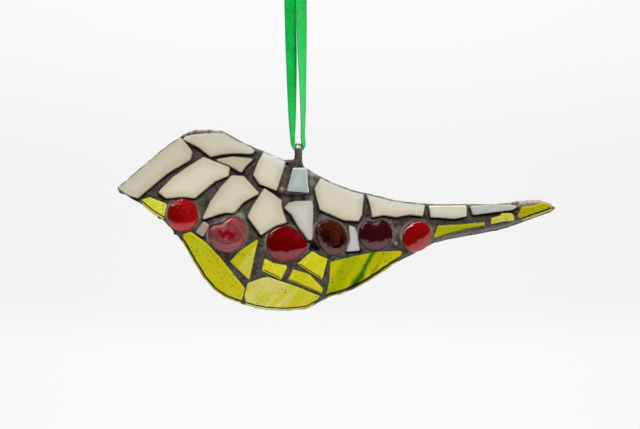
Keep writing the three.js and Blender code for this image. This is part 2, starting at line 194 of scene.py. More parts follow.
def lengths(rows):
    return np.linalg.norm(rows, axis=1)


def unit(rows):
    return rows / lengths(rows)[:, None]


def travelled_along(run):
    """How far along a run each of its points lies."""
    return np.concatenate([[0], np.cumsum(lengths(np.diff(run, axis=0)))])


def face_outline(node, toward):
    """The edge of a solid's flat face that looks along +Y (1) or -Y (-1), as [right, up] points in order."""
    face = merged_copy(node, "outline")
    extreme = max(toward * vertex.co.y for vertex in face.data.vertices)
    for polygon in face.data.polygons:
        polygon.select = toward * polygon.center.y < extreme - 0.01 * MM
    edit(face)
    bpy.ops.mesh.delete(type="FACE")
    bpy.ops.mesh.select_all(action="SELECT")
    bpy.ops.mesh.dissolve_faces()
    leave_edit()
    outline = bird_places(face)[list(face.data.polygons[0].vertices), :2]
    bpy.data.objects.remove(face)
    return outline


def grown(outline, distance):
    """An outline moved outwards all round."""
    before = unit(outline - np.roll(outline, 1, axis=0))
    after = unit(np.roll(outline, -1, axis=0) - outline)
    area = np.sum(outline[:, 0] * np.roll(outline[:, 1], -1) - np.roll(outline[:, 0], -1) * outline[:, 1])
    side = unit(np.sign(area) * np.column_stack([before[:, 1] + after[:, 1], -before[:, 0] - after[:, 0]]))
    mitre = np.sign(area) * (side[:, 0] * before[:, 1] - side[:, 1] * before[:, 0])
    return outline + distance * side / np.maximum(mitre, 0.5)[:, None]


def offset_from(outline, places):
    """The offset of every place from the nearest point of a closed outline."""
    nearest = np.full(len(places), np.inf)
    offset = np.zeros_like(places)
    for start, along in zip(outline, np.roll(outline, -1, axis=0) - outline):
        away = places - start
        share = np.clip(away @ along / max(along @ along, 1e-9), 0, 1)
        away = away - share[:, None] * along
        distance = lengths(away)
        closer = distance < nearest
        nearest[closer] = distance[closer]
        offset[closer] = away[closer]
    return offset


def distance_to(outline, places):
    return lengths(offset_from(outline, places))


def is_inside(outline, places):
    """Whether each place lies inside a closed outline."""
    crossings = np.zeros(len(places), int)
    for (x0, y0), (x1, y1) in zip(outline, np.roll(outline, -1, axis=0)):
        spans = (y0 > places[:, 1]) != (y1 > places[:, 1])
        at = x0 + (places[:, 1] - y0) * (x1 - x0) / ((y1 - y0) or 1e-9)
        crossings += spans & (places[:, 0] < at)
    return crossings % 2 == 1


def set_in_place(piece, node, material):
    """Gives a finished piece its material and the place of a solid in the frame."""
    piece.data.materials.clear()
    piece.data.materials.append(material)
    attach(piece, BODY)
    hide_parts(node)


# Nodes
def feed(tree, socket, value):
    if isinstance(value, bpy.types.NodeSocket):
        tree.links.new(value, socket)
    else:
        socket.default_value = value


def add_node(tree, kind, inputs=None, **settings):
    node = tree.nodes.new(f"ShaderNode{kind}")
    for setting, value in settings.items():
        setattr(node, setting, value)
    for socket, value in (inputs or {}).items():
        feed(tree, node.inputs[socket], value)
    return node


def mixed(tree, share, under, over, blend="MIX"):
    node = add_node(tree, "Mix", {0: share, 6: under, 7: over}, data_type="RGBA", blend_type=blend)
    return node.outputs[2]


def layered(tree, colour, *layers):
    """A colour with others laid over it in turn, each by its share."""
    for share, over in layers:
        colour = mixed(tree, share, colour, over)
    return colour


def ranged(tree, value, low, high, start=0.0, end=1.0):
    """A value between low and high, spread smoothly from start to end."""
    inputs = {"Value": value, "From Min": low, "From Max": high, "To Min": start, "To Max": end}
    return add_node(tree, "MapRange", inputs, interpolation_type="SMOOTHSTEP").outputs["Result"]


def math_of(tree, operation, first, second=0.0):
    return add_node(tree, "Math", {0: first, 1: second}, operation=operation).outputs[0]


def plus(tree, first, second):
    return math_of(tree, "ADD", first, second)


def minus(tree, first, second):
    return math_of(tree, "SUBTRACT", first, second)


def times(tree, first, second):
    return math_of(tree, "MULTIPLY", first, second)


def beside_line(tree, offset, line):
    """How far an offset is from a line that lies across it."""
    return math_of(tree, "ABSOLUTE", minus(tree, offset, line))


def parts_of(tree, vector):
    return add_node(tree, "SeparateXYZ", {0: vector}).outputs


def stored(tree, name):
    """The value that a piece stores under a name for each vertex."""
    return add_node(tree, "Attribute", attribute_name=name).outputs["Fac"]


def noise(tree, vector, size, detail=2.0, distortion=0.0):
    """Soft noise whose patches are about a size in millimetres."""
    inputs = {"Vector": vector, "Scale": 1 / (size * MM), "Detail": detail, "Distortion": distortion}
    return add_node(tree, "TexNoise", inputs).outputs[0]


def object_place(tree):
    return add_node(tree, "TexCoord").outputs["Object"]


def turned(tree, vector, centre, angle, stretch):
    """Coordinates about a centre, turned about the depth and stretched, so that a pattern follows them."""
    moved = add_node(tree, "VectorMath", {0: vector, 1: centre}, operation="SUBTRACT").outputs[0]
    inputs = {"Vector": moved, "Axis": (0, 1, 0), "Angle": angle}
    rotated = add_node(tree, "VectorRotate", inputs, rotation_type="AXIS_ANGLE")
    return add_node(tree, "VectorMath", {0: rotated.outputs[0], 1: stretch}, operation="MULTIPLY").outputs[0]


def about(tree, centre, angle=0.0):
    """The offset of each place from a centre, in millimetres, turned about the depth."""
    return turned(tree, object_place(tree), centre, angle, (1 / MM, 0, 1 / MM))


def bumped(tree, height, strength, depth, **under):
    """A normal that follows a height over a depth in millimetres, perhaps with a normal under it."""
    inputs = {"Strength": strength, "Distance": depth * MM, "Height": height, **under}
    return add_node(tree, "Bump", inputs).outputs[0]


def rgb(red, green, blue):
    """A colour as it looks on a screen, as the shader's linear values."""
    parts = [part / 255 for part in (red, green, blue)]
    return (*[part / 12.92 if part <= 0.04045 else ((part + 0.055) / 1.055) ** 2.4 for part in parts], 1.0)


def effect(name, takes, gives):
    """A node group with named inputs and outputs. Returns its tree, its inputs and its outputs."""
    tree = bpy.data.node_groups.new(name, "ShaderNodeTree")
    for socket, (kind, value) in takes.items():
        taken = tree.interface.new_socket(socket, in_out="INPUT", socket_type=f"NodeSocket{kind}")
        taken.default_value = value
    for socket, kind in gives.items():
        tree.interface.new_socket(socket, in_out="OUTPUT", socket_type=f"NodeSocket{kind}")
    return tree, tree.nodes.new("NodeGroupInput").outputs, tree.nodes.new("NodeGroupOutput").inputs


def rim_tint_effect():
    """Tints glass along its own cut edge, and near the bird's rim paints a pale glow for the light that comes
    in from behind there, where a thin line of grout may also lie on it."""
    takes = {
        "Colour": ("Color", rgb(255, 255, 255)),
        "Edge Colour": ("Color", rgb(170, 145, 115)),
        "Edge Width": ("Float", 0.5),
        "Edge Share": ("Float", 0.6),
        "Rim Colour": ("Color", rgb(224, 228, 220)),
        "Rim Reach": ("Float", 3.4),
        "Rim Share": ("Float", 0.75),
        "Line Share": ("Float", 0.0),
    }
    tree, given, out = effect("rim_tint", takes, {"Colour": "Color"})
    rim = stored(tree, "rim")
    # Painted light: a pale glow near the rim that stands for light shining through from behind.
    near_rim_glow = times(tree, ranged(tree, rim, 0.3, given["Rim Reach"], 1, 0), given["Rim Share"])
    lit = mixed(tree, near_rim_glow, given["Colour"], given["Rim Colour"])
    edge = stored(tree, "edge")
    where = object_place(tree)
    ragged = times(tree, noise(tree, where, 1.5), given["Edge Share"])
    near_edge = times(tree, ranged(tree, edge, 0.0, given["Edge Width"], 1.6, 0), ragged)
    tinted = mixed(tree, near_edge, lit, given["Edge Colour"])
    broken = times(tree, ranged(tree, noise(tree, where, 2.5), 0.3, 0.5), given["Line Share"])
    line = times(tree, ranged(tree, rim, 0.36, 0.56, 1, 0), broken)
    feed(tree, out["Colour"], mixed(tree, line, tinted, rgb(84, 73, 64)))
    return tree


def seeds_effect():
    """Small dark seeds and bubbles scattered in patches over a face of glass."""
    takes = {"Spacing": ("Float", 1.0), "Size": ("Float", 0.16), "Share": ("Float", 0.5)}
    tree, given, out = effect("seeds", takes, {"Mask": "Float"})
    where = object_place(tree)
    across, _, up = parts_of(tree, where)
    face = add_node(tree, "CombineXYZ", {0: across, 1: up}).outputs[0]
    scale = math_of(tree, "DIVIDE", 1 / MM, given["Spacing"])
    inputs = {"Vector": face, "Scale": scale, "Randomness": 1.0}
    cells = add_node(tree, "TexVoronoi", inputs, voronoi_dimensions="2D")
    chance = add_node(tree, "SeparateColor", {0: cells.outputs["Color"]}).outputs
    patches = times(tree, ranged(tree, noise(tree, where, 5.0), 0.4, 0.6), given["Share"])
    kept = math_of(tree, "LESS_THAN", chance[0], patches)
    size = times(tree, given["Size"], plus(tree, chance[1], 0.4))
    dot = math_of(tree, "LESS_THAN", cells.outputs["Distance"], size)
    feed(tree, out["Mask"], times(tree, dot, kept))
    return tree


def streaks_effect():
    """Soft streaks in rolled glass, drawn out along one direction."""
    takes = {"Angle": ("Float", 0.6), "Width": ("Float", 1.6), "Centre": ("Vector", (0, 0, 0))}
    tree, given, out = effect("streaks", takes, {"Broad": "Float", "Fine": "Float"})
    drawn = turned(tree, object_place(tree), given["Centre"], given["Angle"], (1 / MM, 0.2 / MM, 0.12 / MM))
    scale = math_of(tree, "DIVIDE", 1.0, given["Width"])
    inputs = {"Vector": drawn, "Scale": scale, "Detail": 2.0, "Distortion": 0.4}
    broad = add_node(tree, "TexNoise", inputs)
    inputs = {"Vector": drawn, "Scale": times(tree, scale, 3.5), "Detail": 3.0, "Distortion": 0.2}
    fine = add_node(tree, "TexNoise", inputs)
    feed(tree, out["Broad"], ranged(tree, broad.outputs[0], 0.35, 0.68))
    feed(tree, out["Fine"], ranged(tree, fine.outputs[0], 0.3, 0.75))
    return tree


def ripple_effect():
    """The slight unevenness of a glass surface, as a normal."""
    takes = {"Size": ("Float", 3.0), "Strength": ("Float", 0.3)}
    tree, given, out = effect("ripple", takes, {"Normal": "Vector"})
    scale = math_of(tree, "DIVIDE", 1 / MM, given["Size"])
    waves = add_node(tree, "TexNoise", {"Vector": object_place(tree), "Scale": scale, "Detail": 2.5})
    feed(tree, out["Normal"], bumped(tree, waves.outputs[0], given["Strength"], 0.1))
    return tree


RIM_TINT = rim_tint_effect()
SEEDS = seeds_effect()
STREAKS = streaks_effect()
RIPPLE = ripple_effect()


def new_material(name):
    material = bpy.data.materials.new(name)
    material.use_nodes = True
    tree = material.node_tree
    return material, tree, tree.nodes["Principled BSDF"]


def dress(tree, surface, colour, roughness, normal=None):
    """Gives a surface its colour, its roughness and, where it isn't smooth, its normal."""
    feed(tree, surface.inputs["Base Color"], colour)
    feed(tree, surface.inputs["Roughness"], roughness)
    if normal is not None:
        feed(tree, surface.inputs["Normal"], normal)


def use(tree, group, **inputs):
    """A node group placed in a material with its own values, by their names."""
    named = {name.replace("_", " "): value for name, value in inputs.items()}
    return add_node(tree, "Group", named, node_tree=group).outputs


# Finishes
# What is left of each colour towards the edge of a milky tile.
OPAL_WARMTH = (0.86, 0.83, 0.77, 1.0)
# How blurred the gloss is on the dull patches of a drop.
DULL_BLUR = 0.4
# How far the dark line of painted shade along a ground flank lies in on the face, in half widths of the line.
LINE_INSET = 0.8
# The spacing of the ribbon's weft ribs and of the stitches along its edges.
RIB_GAP = 0.55
STITCH_GAP = 0.9
# The height of the dark band on the wire eye, a painted reflection of its dark surroundings.
DARK_REFLECTION_UP = 2.25


def toned(tree, colour):
    """A colour, lighter or darker by the tone that is stored with each tile."""
    tone = stored(tree, "tone")
    return add_node(tree, "VectorMath", {0: colour, 3: tone}, operation="SCALE").outputs[0]


def opal_glass(
    name, body, cloud, rim_glow_share=0.75, edge_share=0.75, edge_colour=rgb(160, 138, 112), line_share=0.9
):
    """Milky sheet glass: cloudy in the body, warmer towards its cut edges and painted with a pale glow of
    light near the bird's rim.
    """
    material, tree, surface = new_material(name)
    edge = stored(tree, "edge")
    colour = mixed(tree, noise(tree, object_place(tree), 16.0, 1.0), body, cloud)
    colour = mixed(tree, ranged(tree, edge, 0.3, 2.8, 1, 0), colour, OPAL_WARMTH, "MULTIPLY")
    tinted = use(
        tree, RIM_TINT, Colour=colour, Rim_Share=rim_glow_share, Edge_Share=edge_share, Edge_Colour=edge_colour,
        Line_Share=line_share,
    )
    normal = use(tree, RIPPLE, Size=5.0, Strength=0.12)["Normal"]
    dress(tree, surface, toned(tree, tinted["Colour"]), ranged(tree, edge, 0.1, 0.5, 0.65, 0.24), normal)
    return material


def streaky_glass(name, body, pale, dark, angle, paleness, seeds=0.22, accent=None, arris=rgb(20, 20, 6)):
    """Yellow rolled glass with paler streaks, dark seeds and a dark line of painted shade along a ground
    arris. An accent is a function that gives the mask of one more colour, and that colour."""
    material, tree, surface = new_material(name)
    streaks = use(tree, STREAKS, Angle=angle)
    clouds = ranged(tree, noise(tree, object_place(tree), 8.0, 2.0, 0.5), 0.35, 0.68)
    broad = times(tree, math_of(tree, "MAXIMUM", streaks["Broad"], clouds), paleness)
    colour = mixed(tree, broad, body, pale)
    fine = times(tree, streaks["Fine"], 0.3)
    colour = mixed(tree, fine, colour, dark)
    if accent is not None:
        mask, tone = accent(tree)
        colour = mixed(tree, mask, colour, tone)
    seeds = use(tree, SEEDS, Share=seeds)["Mask"]
    colour = mixed(tree, times(tree, seeds, 0.8), toned(tree, colour), rgb(70, 62, 18))
    flank = stored(tree, "flank")
    colour = mixed(tree, ranged(tree, flank, -2.0, -1.0, 0.7, 0), colour, rgb(150, 146, 52))
    ragged = minus(tree, noise(tree, object_place(tree), 1.2), 0.5)
    beside = beside_line(tree, plus(tree, flank, ragged), LINE_INSET)
    # Painted shade: a dark line where the glass edge lies in shadow, along the ground flank or the lower
    # edge.
    colour = mixed(tree, ranged(tree, beside, 0.6, 1.3, 0.95, 0), colour, arris)
    tinted = use(
        tree, RIM_TINT, Colour=colour, Rim_Share=0.0, Edge_Share=0.6, Edge_Width=0.2,
        Edge_Colour=rgb(70, 66, 14),
    )
    inward = math_of(tree, "MINIMUM", stored(tree, "edge"), times(tree, plus(tree, flank, 1.2), 0.25))
    normal = use(tree, RIPPLE, Size=1.8, Strength=0.3)["Normal"]
    dress(tree, surface, tinted["Colour"], ranged(tree, inward, 0.1, 0.5, 0.8, 0.18), normal)
    surface.inputs["Specular IOR Level"].default_value = 0.4
    return material


def green_streak(tree):
    """A green streak across the large yellow tile, darker in its core and towards the bird's rim, where it is
    also wider, with fainter bands beside it."""
    across, _, along = parts_of(tree, about(tree, place(19.0, -33.0), -0.53))
    wavy = times(tree, minus(tree, noise(tree, object_place(tree), 4.0), 0.5), 1.6)
    offset = plus(tree, across, wavy)
    half_width = ranged(tree, along, -5.0, 4.0, 1.5, 0.8)
    away = math_of(tree, "DIVIDE", beside_line(tree, offset, 0.0), half_width)
    streak = ranged(tree, away, 0.25, 1.25, 0.95, 0)
    before = ranged(tree, beside_line(tree, offset, -4.6), 0.6, 2.4, 0.36, 0)
    after = ranged(tree, beside_line(tree, offset, 2.6), 0.15, 0.6, 0.4, 0)
    bands = math_of(tree, "MAXIMUM", math_of(tree, "MAXIMUM", streak, before), after)
    tone = mixed(tree, ranged(tree, away, 0.1, 0.7, 1, 0), rgb(84, 140, 0), rgb(30, 100, 2))
    return bands, mixed(tree, ranged(tree, stored(tree, "rim"), 0.8, 3.2, 1, 0), tone, rgb(6, 62, 4))


def beyond_line(tree, point, angle):
    """How far each place lies to the right of a line through a point, in millimetres. At no angle the line
    is upright, and it leans to the right as the angle goes below zero."""
    return parts_of(tree, about(tree, point, angle))["X"]


def pale_half(tree):
    """The lower right half of the triangular tile, which is paler."""
    beyond = beyond_line(tree, place(-15.2, -30.2), -0.665)
    return ranged(tree, beyond, -0.4, 0.5, 0, 0.7), rgb(202, 196, 78)


def rich_corner(tree):
    """The right corner of the belly tile, which is a fuller yellow."""
    beyond = beyond_line(tree, place(-2.0, -41.6), -0.588)
    return ranged(tree, beyond, -0.3, 0.5, 0, 0.8), rgb(192, 186, 8)


def about_spot(tree, right, up):
    """The offset of each place from a spot on the bird, in millimetres, and its length."""
    offset = about(tree, place(right, up))
    return offset, add_node(tree, "VectorMath", {0: offset}, operation="LENGTH").outputs["Value"]


def dark_hook(tree):
    """A black hooked stroke in the lower right of the brown drop."""
    offset, distance = about_spot(tree, 10.2, -24.8)
    across, _, up = parts_of(tree, offset)
    arc = ranged(tree, beside_line(tree, distance, 2.3), 0.28, 0.52, 1, 0)
    lower = minus(tree, times(tree, across, 0.8), up)
    return times(tree, arc, ranged(tree, lower, 0.6, 1.3))


def in_patches(tree, patches):
    """How far each place lies in ragged patches of [right, up, radius], from 0 to 1."""
    share = 0.0
    ragged = minus(tree, noise(tree, object_place(tree), 1.3, 2.0), 0.5)
    for right, up, radius in patches:
        away = plus(tree, about_spot(tree, right, up)[1], times(tree, ragged, 2.0 * radius))
        share = math_of(tree, "MAXIMUM", share, ranged(tree, away, 0.4 * radius, radius, 1, 0))
    return share


def wrinkled(tree, normal, patches):
    """Adds the fine creases of a cooled crown to a normal, in patches."""
    creases = noise(tree, object_place(tree), 0.7, 1.0, 1.2)
    height = times(tree, creases, in_patches(tree, patches))
    return bumped(tree, height, 1.0, 0.22, Normal=normal)


def drop_glass(
    name, body, depth, lines, glow, ring_gap, ring_share, gloss, blur, ripple, centre, cores, creased, dulled,
    accent,
):
    """A poured glass drop: deeper in its cores and in clouds, brighter in its lower part with a painted
    reflection of the pale floor, with lines that follow its outline on the right, creased and dulled in
    patches, and perhaps with one dark stroke."""
    material, tree, surface = new_material(name)
    where = object_place(tree)
    clouds = ranged(tree, noise(tree, where, 3.0, 2.0, 0.8), 0.38, 0.62)
    clouds = math_of(tree, "MAXIMUM", times(tree, clouds, 0.6), in_patches(tree, cores))
    colour = mixed(tree, clouds, body, depth)
    up = parts_of(tree, where)["Z"]
    # Painted reflection: the lower part turns to the glow colour, as the pale floor shows in it.
    lower = ranged(tree, up, centre.z - 3.4 * MM, centre.z - 0.8 * MM, 0.9, 0)
    colour = mixed(tree, lower, colour, glow)
    edge = stored(tree, "edge")
    drift = times(tree, minus(tree, noise(tree, where, 2.4, 1.0), 0.5), 1.5)
    phase = times(tree, plus(tree, edge, drift), 2 * math.pi / ring_gap)
    rings = ranged(tree, math_of(tree, "SINE", phase), 0.0, 0.9)
    side = ranged(tree, beyond_line(tree, centre, -0.5), -3.0, 1.0, 0.4 * ring_share, ring_share)
    side = times(tree, side, ranged(tree, edge, 2.8, 4.0, 1, 0))
    colour = mixed(tree, times(tree, rings, side), colour, lines)
    if accent is not None:
        colour = mixed(tree, accent(tree), colour, rgb(12, 6, 5))
    blurred = ranged(tree, in_patches(tree, dulled), 0, 1, blur, DULL_BLUR) if dulled else blur
    normal = use(tree, RIPPLE, Size=1.1, Strength=ripple)["Normal"]
    dress(tree, surface, colour, blurred, wrinkled(tree, normal, creased) if creased else normal)
    surface.inputs["Specular IOR Level"].default_value = gloss
    return material


def grout_finish():
    """Sandy cement: mottled grey with pores and pale grains, pale where it is smeared up a drop, with painted
    light in some pale places, and dark with painted shade where it lies deep beside a tile."""
    material, tree, surface = new_material("grout")
    where = object_place(tree)
    mottle = ranged(tree, noise(tree, where, 2.6, 3.0), 0.32, 0.68)
    grain = noise(tree, where, 0.4, 3.0)
    colour = layered(
        tree, rgb(50, 46, 42),
        (mottle, rgb(82, 76, 69)),
        # Pale smears, partly painted light on the upper sides of drops, along the tail's rim and over shaded
        # patches.
        (times(tree, stored(tree, "smear"), 0.85), rgb(148, 139, 129)),
        (ranged(tree, grain, 0.52, 0.72, 0, 0.7), rgb(122, 114, 106)),
        (ranged(tree, grain, 0.32, 0.46, 0.75, 0), rgb(30, 27, 24)),
        # Painted shade where the grout lies deep beside a tile, in grooves and in pits.
        (stored(tree, "crevice_shade"), rgb(26, 24, 21)),
    )
    dress(tree, surface, colour, 0.9, bumped(tree, grain, 0.9, 0.12))
    return material


def wire_finish():
    """Silver wire, a little dulled in patches, with a painted dark reflection as a band above the grout."""
    material, tree, surface = new_material("wire")
    dull = ranged(tree, noise(tree, object_place(tree), 0.8, 2.0), 0.35, 0.7)
    up = parts_of(tree, object_place(tree))["Z"]
    from_dark_reflection = beside_line(tree, up, place(0, DARK_REFLECTION_UP).z)
    colour = layered(
        tree, rgb(222, 220, 214),
        (dull, rgb(168, 164, 156)),
        # Painted reflection: a dark band across the silver.
        (ranged(tree, from_dark_reflection, 0.1 * MM, 0.3 * MM, 0.8, 0), rgb(60, 56, 52)),
    )
    dress(tree, surface, colour, ranged(tree, dull, 0, 1, 0.25, 0.4))
    surface.inputs["Metallic"].default_value = 0.45
    return material


def satin_finish(length, width):
    """Green satin: fine weft ribs and fibres, and a stitched selvedge along both edges. It is lighter on the
    right strand, partly its other face and partly painted sheen, and greyer where it is gathered."""
    material, tree, surface = new_material("satin")
    across, along, _ = parts_of(tree, add_node(tree, "UVMap").outputs[0])
    from_edge = times(tree, minus(tree, 0.5, beside_line(tree, across, 0.5)), width / MM)
    distance = times(tree, along, length / MM)
    rib = math_of(tree, "SINE", times(tree, distance, 2 * math.pi / RIB_GAP))
    stitch = math_of(tree, "SINE", times(tree, distance, 2 * math.pi / STITCH_GAP))
    sheen = ranged(tree, noise(tree, object_place(tree), 5.0, 2.0), 0.3, 0.7)
    fibres = noise(tree, object_place(tree), 0.5, 2.0)
    up = parts_of(tree, object_place(tree))["Z"]
    gathered = ranged(tree, up, place(0, 2).z, place(0, 32).z, 0.15, 0)
    at_edge = ranged(tree, from_edge, 0.15, 0.45, 1, 0)
    selvedge = times(tree, at_edge, ranged(tree, stitch, -1.2, 0.3))
    colour = layered(
        tree, rgb(0, 184, 68),
        (sheen, rgb(8, 202, 84)),
        # The right strand is lighter: partly the ribbon's other face, partly painted sheen.
        (ranged(tree, along, 0.47, 0.55, 0, 0.8), rgb(52, 204, 96)),
        (ranged(tree, rib, -1, 1, 0, 0.28), rgb(0, 130, 42)),
        (ranged(tree, fibres, 0.5, 0.7, 0, 0.3), rgb(0, 130, 44)),
        (ranged(tree, fibres, 0.3, 0.5, 0.22, 0), rgb(48, 226, 116)),
        (gathered, rgb(90, 160, 110)),
        (times(tree, selvedge, 0.5), rgb(0, 112, 40)),
    )
    height = minus(tree, rib, times(tree, selvedge, 2.0))
    dress(tree, surface, colour, 0.42, bumped(tree, height, 0.35, 0.03))
    surface.inputs["Specular IOR Level"].default_value = 0.3
    return material


# Ribbon. Its run is [right, up] from its left end under the knot, through the eye, to its right end.
RIBBON_RUN = [
    (-1.0, 54.6), (-1.5, 52.7), (-2.1, 50.0), (-2.4, 46.5), (-2.4, 42.0), (-2.27, 36.0), (-2.1, 30.0),
    (-1.95, 24.0), (-1.84, 18.0), (-1.72, 12.5), (-1.58, 8.0), (-1.44, 5.0), (-1.36, 3.6), (-1.26, 2.6),
    (-0.95, 1.5), (0, 0.95), (0.95, 1.5), (1.22, 2.6), (1.1, 3.6), (1.02, 5.0), (1.1, 8.0), (1.18, 12.5),
    (1.17, 18.0), (1.08, 24.0), (1.0, 30.0), (0.9, 36.0), (0.8, 42.0), (0.7, 46.5), (0.45, 50.0),
    (-0.1, 52.7), (-0.6, 54.6),
]
RIBBON_WIDTH = 3.2
RIBBON_THICKNESS = 0.2
RIBBON_STEPS = 240
RIBBON_STRANDS = 12
# How many places on each span of the run are worked out before they are spaced evenly.
SPAN_STEPS = 24
LEAST_BEND = 0.02
# How much of each strand's width faces the front, and the angle that its cross section bends, by height.
# The left strand shows its inner face and the right strand its outer one.
LEFT_FACING = ([0.5, 2.4, 10.6, 20.0, 29.0, 43.5], [0.0, 0.34, 0.66, 0.84, 1.0, 1.0])
RIGHT_FACING = ([0.5, 2.4, 10.6, 20.0, 29.0, 36.0, 43.5], [0.0, -0.3, -0.42, -0.59, -0.78, -0.93, -1.0])
RIBBON_CUP = ([0.5, 2.5, 6.0, 14.0, 30.0, 46.5, 53.0], [175, 90, 55, 35, 10, 10, 200])
# How far the right strand lies in front of the left one, by height.
RIGHT_FORWARD = ([20.0, 32.0, 46.0, 52.0], [0.0, 0.32, 0.32, 0.0])
KNOT_CENTRE = (-0.8, 55.2)
# Passes of ribbon around the knot: tilt, radius, rise and first angle.
KNOT_WRAPS = [(0.5, 1.75, 1.1, 0.2), (-0.45, 1.95, -0.5, 2.6)]
WRAP_TURN = 2 * math.pi * 1.02
WRAP_STEPS = 60
WRAP_WIDTH = 2.9
WRAP_CUP = math.radians(125)
# Cut ends above the knot: how far each leans to the left over its height, and its place in depth.
KNOT_ENDS = [(0.42, -0.5), (-0.3, 0.5)]
END_LENGTH = 10.5
END_STEPS = 40


def smooth_run(points, count):
    """Places spaced evenly along a smooth curve through given points."""
    points = np.array(points, float)
    padded = np.vstack([2 * points[0] - points[1], points, 2 * points[-1] - points[-2]])
    dense = []
    for a, b, c, d in zip(padded, padded[1:], padded[2:], padded[3:]):
        for t in np.linspace(0, 1, SPAN_STEPS, endpoint=False):
            pull = (c - a) * t + (2 * a - 5 * b + 4 * c - d) * t**2 + (3 * b - a - 3 * c + d) * t**3
            dense.append(b + 0.5 * pull)
    dense = np.array(dense + [points[-1]])
    travelled = travelled_along(dense)
    stations = np.linspace(0, travelled[-1], count)
    return np.column_stack([np.interp(stations, travelled, column) for column in dense.T])


def satin_strip(name, run, inner, cup, width=RIBBON_WIDTH):
    """A ribbon along a run of [right, up, height] places. Its inner face looks along inner, and each cross
    section is an arc that bends its edges away from that side by the angle cup."""
    tangent = unit(np.gradient(run, axis=0))
    inner = unit(inner - np.sum(inner * tangent, axis=1)[:, None] * tangent)
    sideways = np.cross(tangent, inner)
    bpy.ops.mesh.primitive_grid_add(x_subdivisions=RIBBON_STRANDS, y_subdivisions=len(run) - 1, size=1)
    strip = bpy.context.object
    strip.name = name
    grid = np.array([vertex.co for vertex in strip.data.vertices])
    station = np.rint((grid[:, 1] + 0.5) * (len(run) - 1)).astype(int)
    bend = np.maximum(cup[station], LEAST_BEND)
    radius = width / bend
    angle = grid[:, 0] * bend
    level = radius * (1 - np.sin(bend / 2) / (bend / 2))
    across = (radius * np.sin(angle))[:, None] * sideways[station]
    bow = (radius * (1 - np.cos(angle)) - level)[:, None] * inner[station]
    move_to(strip, run[station] + across - bow)
    shape_with(strip, "SOLIDIFY", thickness=RIBBON_THICKNESS * MM, offset=0)
    smooth_over(strip, 50)
    return strip


def hanging_ribbon():
    """The ribbon: gathered and edge-on in the eye, then turning flat to the front as it goes up."""
    flat_run = smooth_run(RIBBON_RUN, RIBBON_STEPS)
    right, up = flat_run.T
    on_left = np.arange(len(up)) < np.argmin(up)
    run = np.column_stack([right, up, np.where(on_left, 0, np.interp(up, *RIGHT_FORWARD))])
    tangent = unit(np.gradient(flat_run, axis=0))
    facing = np.where(on_left, np.interp(up, *LEFT_FACING), np.interp(up, *RIGHT_FACING))
    turn = np.arcsin(facing)
    cup = np.radians(np.interp(up, *RIBBON_CUP))
    inner = np.column_stack([-tangent[:, 1] * np.cos(turn), tangent[:, 0] * np.cos(turn), np.sin(turn)])
    return satin_strip("satin_ribbon", run, inner, cup), run


def satin_knot():
    """The knot: two passes of ribbon wrapped around the gathered ends, and the two cut ends above it."""
    right, up = KNOT_CENTRE
    strips = []
    for number, (tilt, size, rise, begin) in enumerate(KNOT_WRAPS):
        sweep = np.linspace(begin, begin + WRAP_TURN, WRAP_STEPS)
        x = size * np.cos(sweep)
        lift = tilt * x + rise * np.linspace(-0.6, 0.6, WRAP_STEPS)
        run = np.column_stack([right + x, up + lift, 0.8 * size * np.sin(sweep)])
        out = np.column_stack([np.cos(sweep), np.zeros(WRAP_STEPS), np.sin(sweep)])
        strips.append(satin_strip(f"wrap_{number}", run, out, np.full(WRAP_STEPS, WRAP_CUP), WRAP_WIDTH))
    for number, (lean, depth) in enumerate(KNOT_ENDS):
        travel = np.linspace(0, END_LENGTH, END_STEPS)
        bow = 0.03 * travel**2
        across = right - lean * travel + 0.4 * np.sin(travel / 3)
        run = np.column_stack([across, up + travel, depth * (1 + 0.25 * bow)])
        face = np.column_stack([0.25 * np.sin(travel / 4), np.zeros(END_STEPS), np.ones(END_STEPS)])
        cup = math.radians(170) * (1 - smoothstep(1.5, 6, travel)) + math.radians(25)
        strips.append(satin_strip(f"tail_{number}", run, face, cup))
    return joined(strips, "satin_knot")


ribbon, ribbon_path = hanging_ribbon()
knot = satin_knot()
ribbon_length = lengths(np.diff(ribbon_path, axis=0)).sum()
satin = satin_finish(ribbon_length * MM, RIBBON_WIDTH * MM)
set_in_place(ribbon, "ribbon", satin)
set_in_place(knot, "ribbon_knot", satin)


# Glass tiles
# Tiles that are ground down to the bird's lower rim: the width of the slope, and half the width of the dark
# line of painted shade along its upper edge.
GROUND_FLANK = {
    "yellow_chin_tile": (0.75, 0.2), "yellow_chest_tile": (0.55, 0.3), "yellow_belly_tile": (0.65, 0.22),
    "yellow_streaked_tile": (0.5, 0.42), "yellow_tail_tile_tip": (0.95, 0.26),
}
# Tiles with a dark line of painted shade along their own lower edges, by its distance from the edge and half
# its width.
LOWER_SHADE_LINE = {
    "yellow_small_tile": (0.37, 0.16), "yellow_kite_tile": (0.32, 0.16), "yellow_strip_tile": (0.2, 0.12),
    "yellow_tail_tile_front": (0.09, 0.14),
}
# Tiles that are lighter or darker than the rest of their glass.
TONES = {
    "beak_tile": 0.93, "crown_tile": 0.97, "brow_tile": 0.87, "cheek_tile": 1.07, "nape_tile": 1.06,
    "tail_tile_front": 0.98, "tail_tile_rear": 0.76, "yellow_chin_tile": 1.12, "yellow_small_tile": 1.2,
    "yellow_kite_tile": 1.18, "yellow_strip_tile": 1.06,
    "yellow_tail_tile_front": 0.8, "yellow_tail_tile_tip": 0.8,
}
TILE_BEVEL = 0.2
# How far a tile is swelled, to make up for what smoothing takes from its size.
TILE_SWELL = 0.04
# A ground flank ends this far inside the rim, and drops by this much for each millimetre of its width.
FLANK_GAP = 0.05
FLANK_SLOPE = 1.4
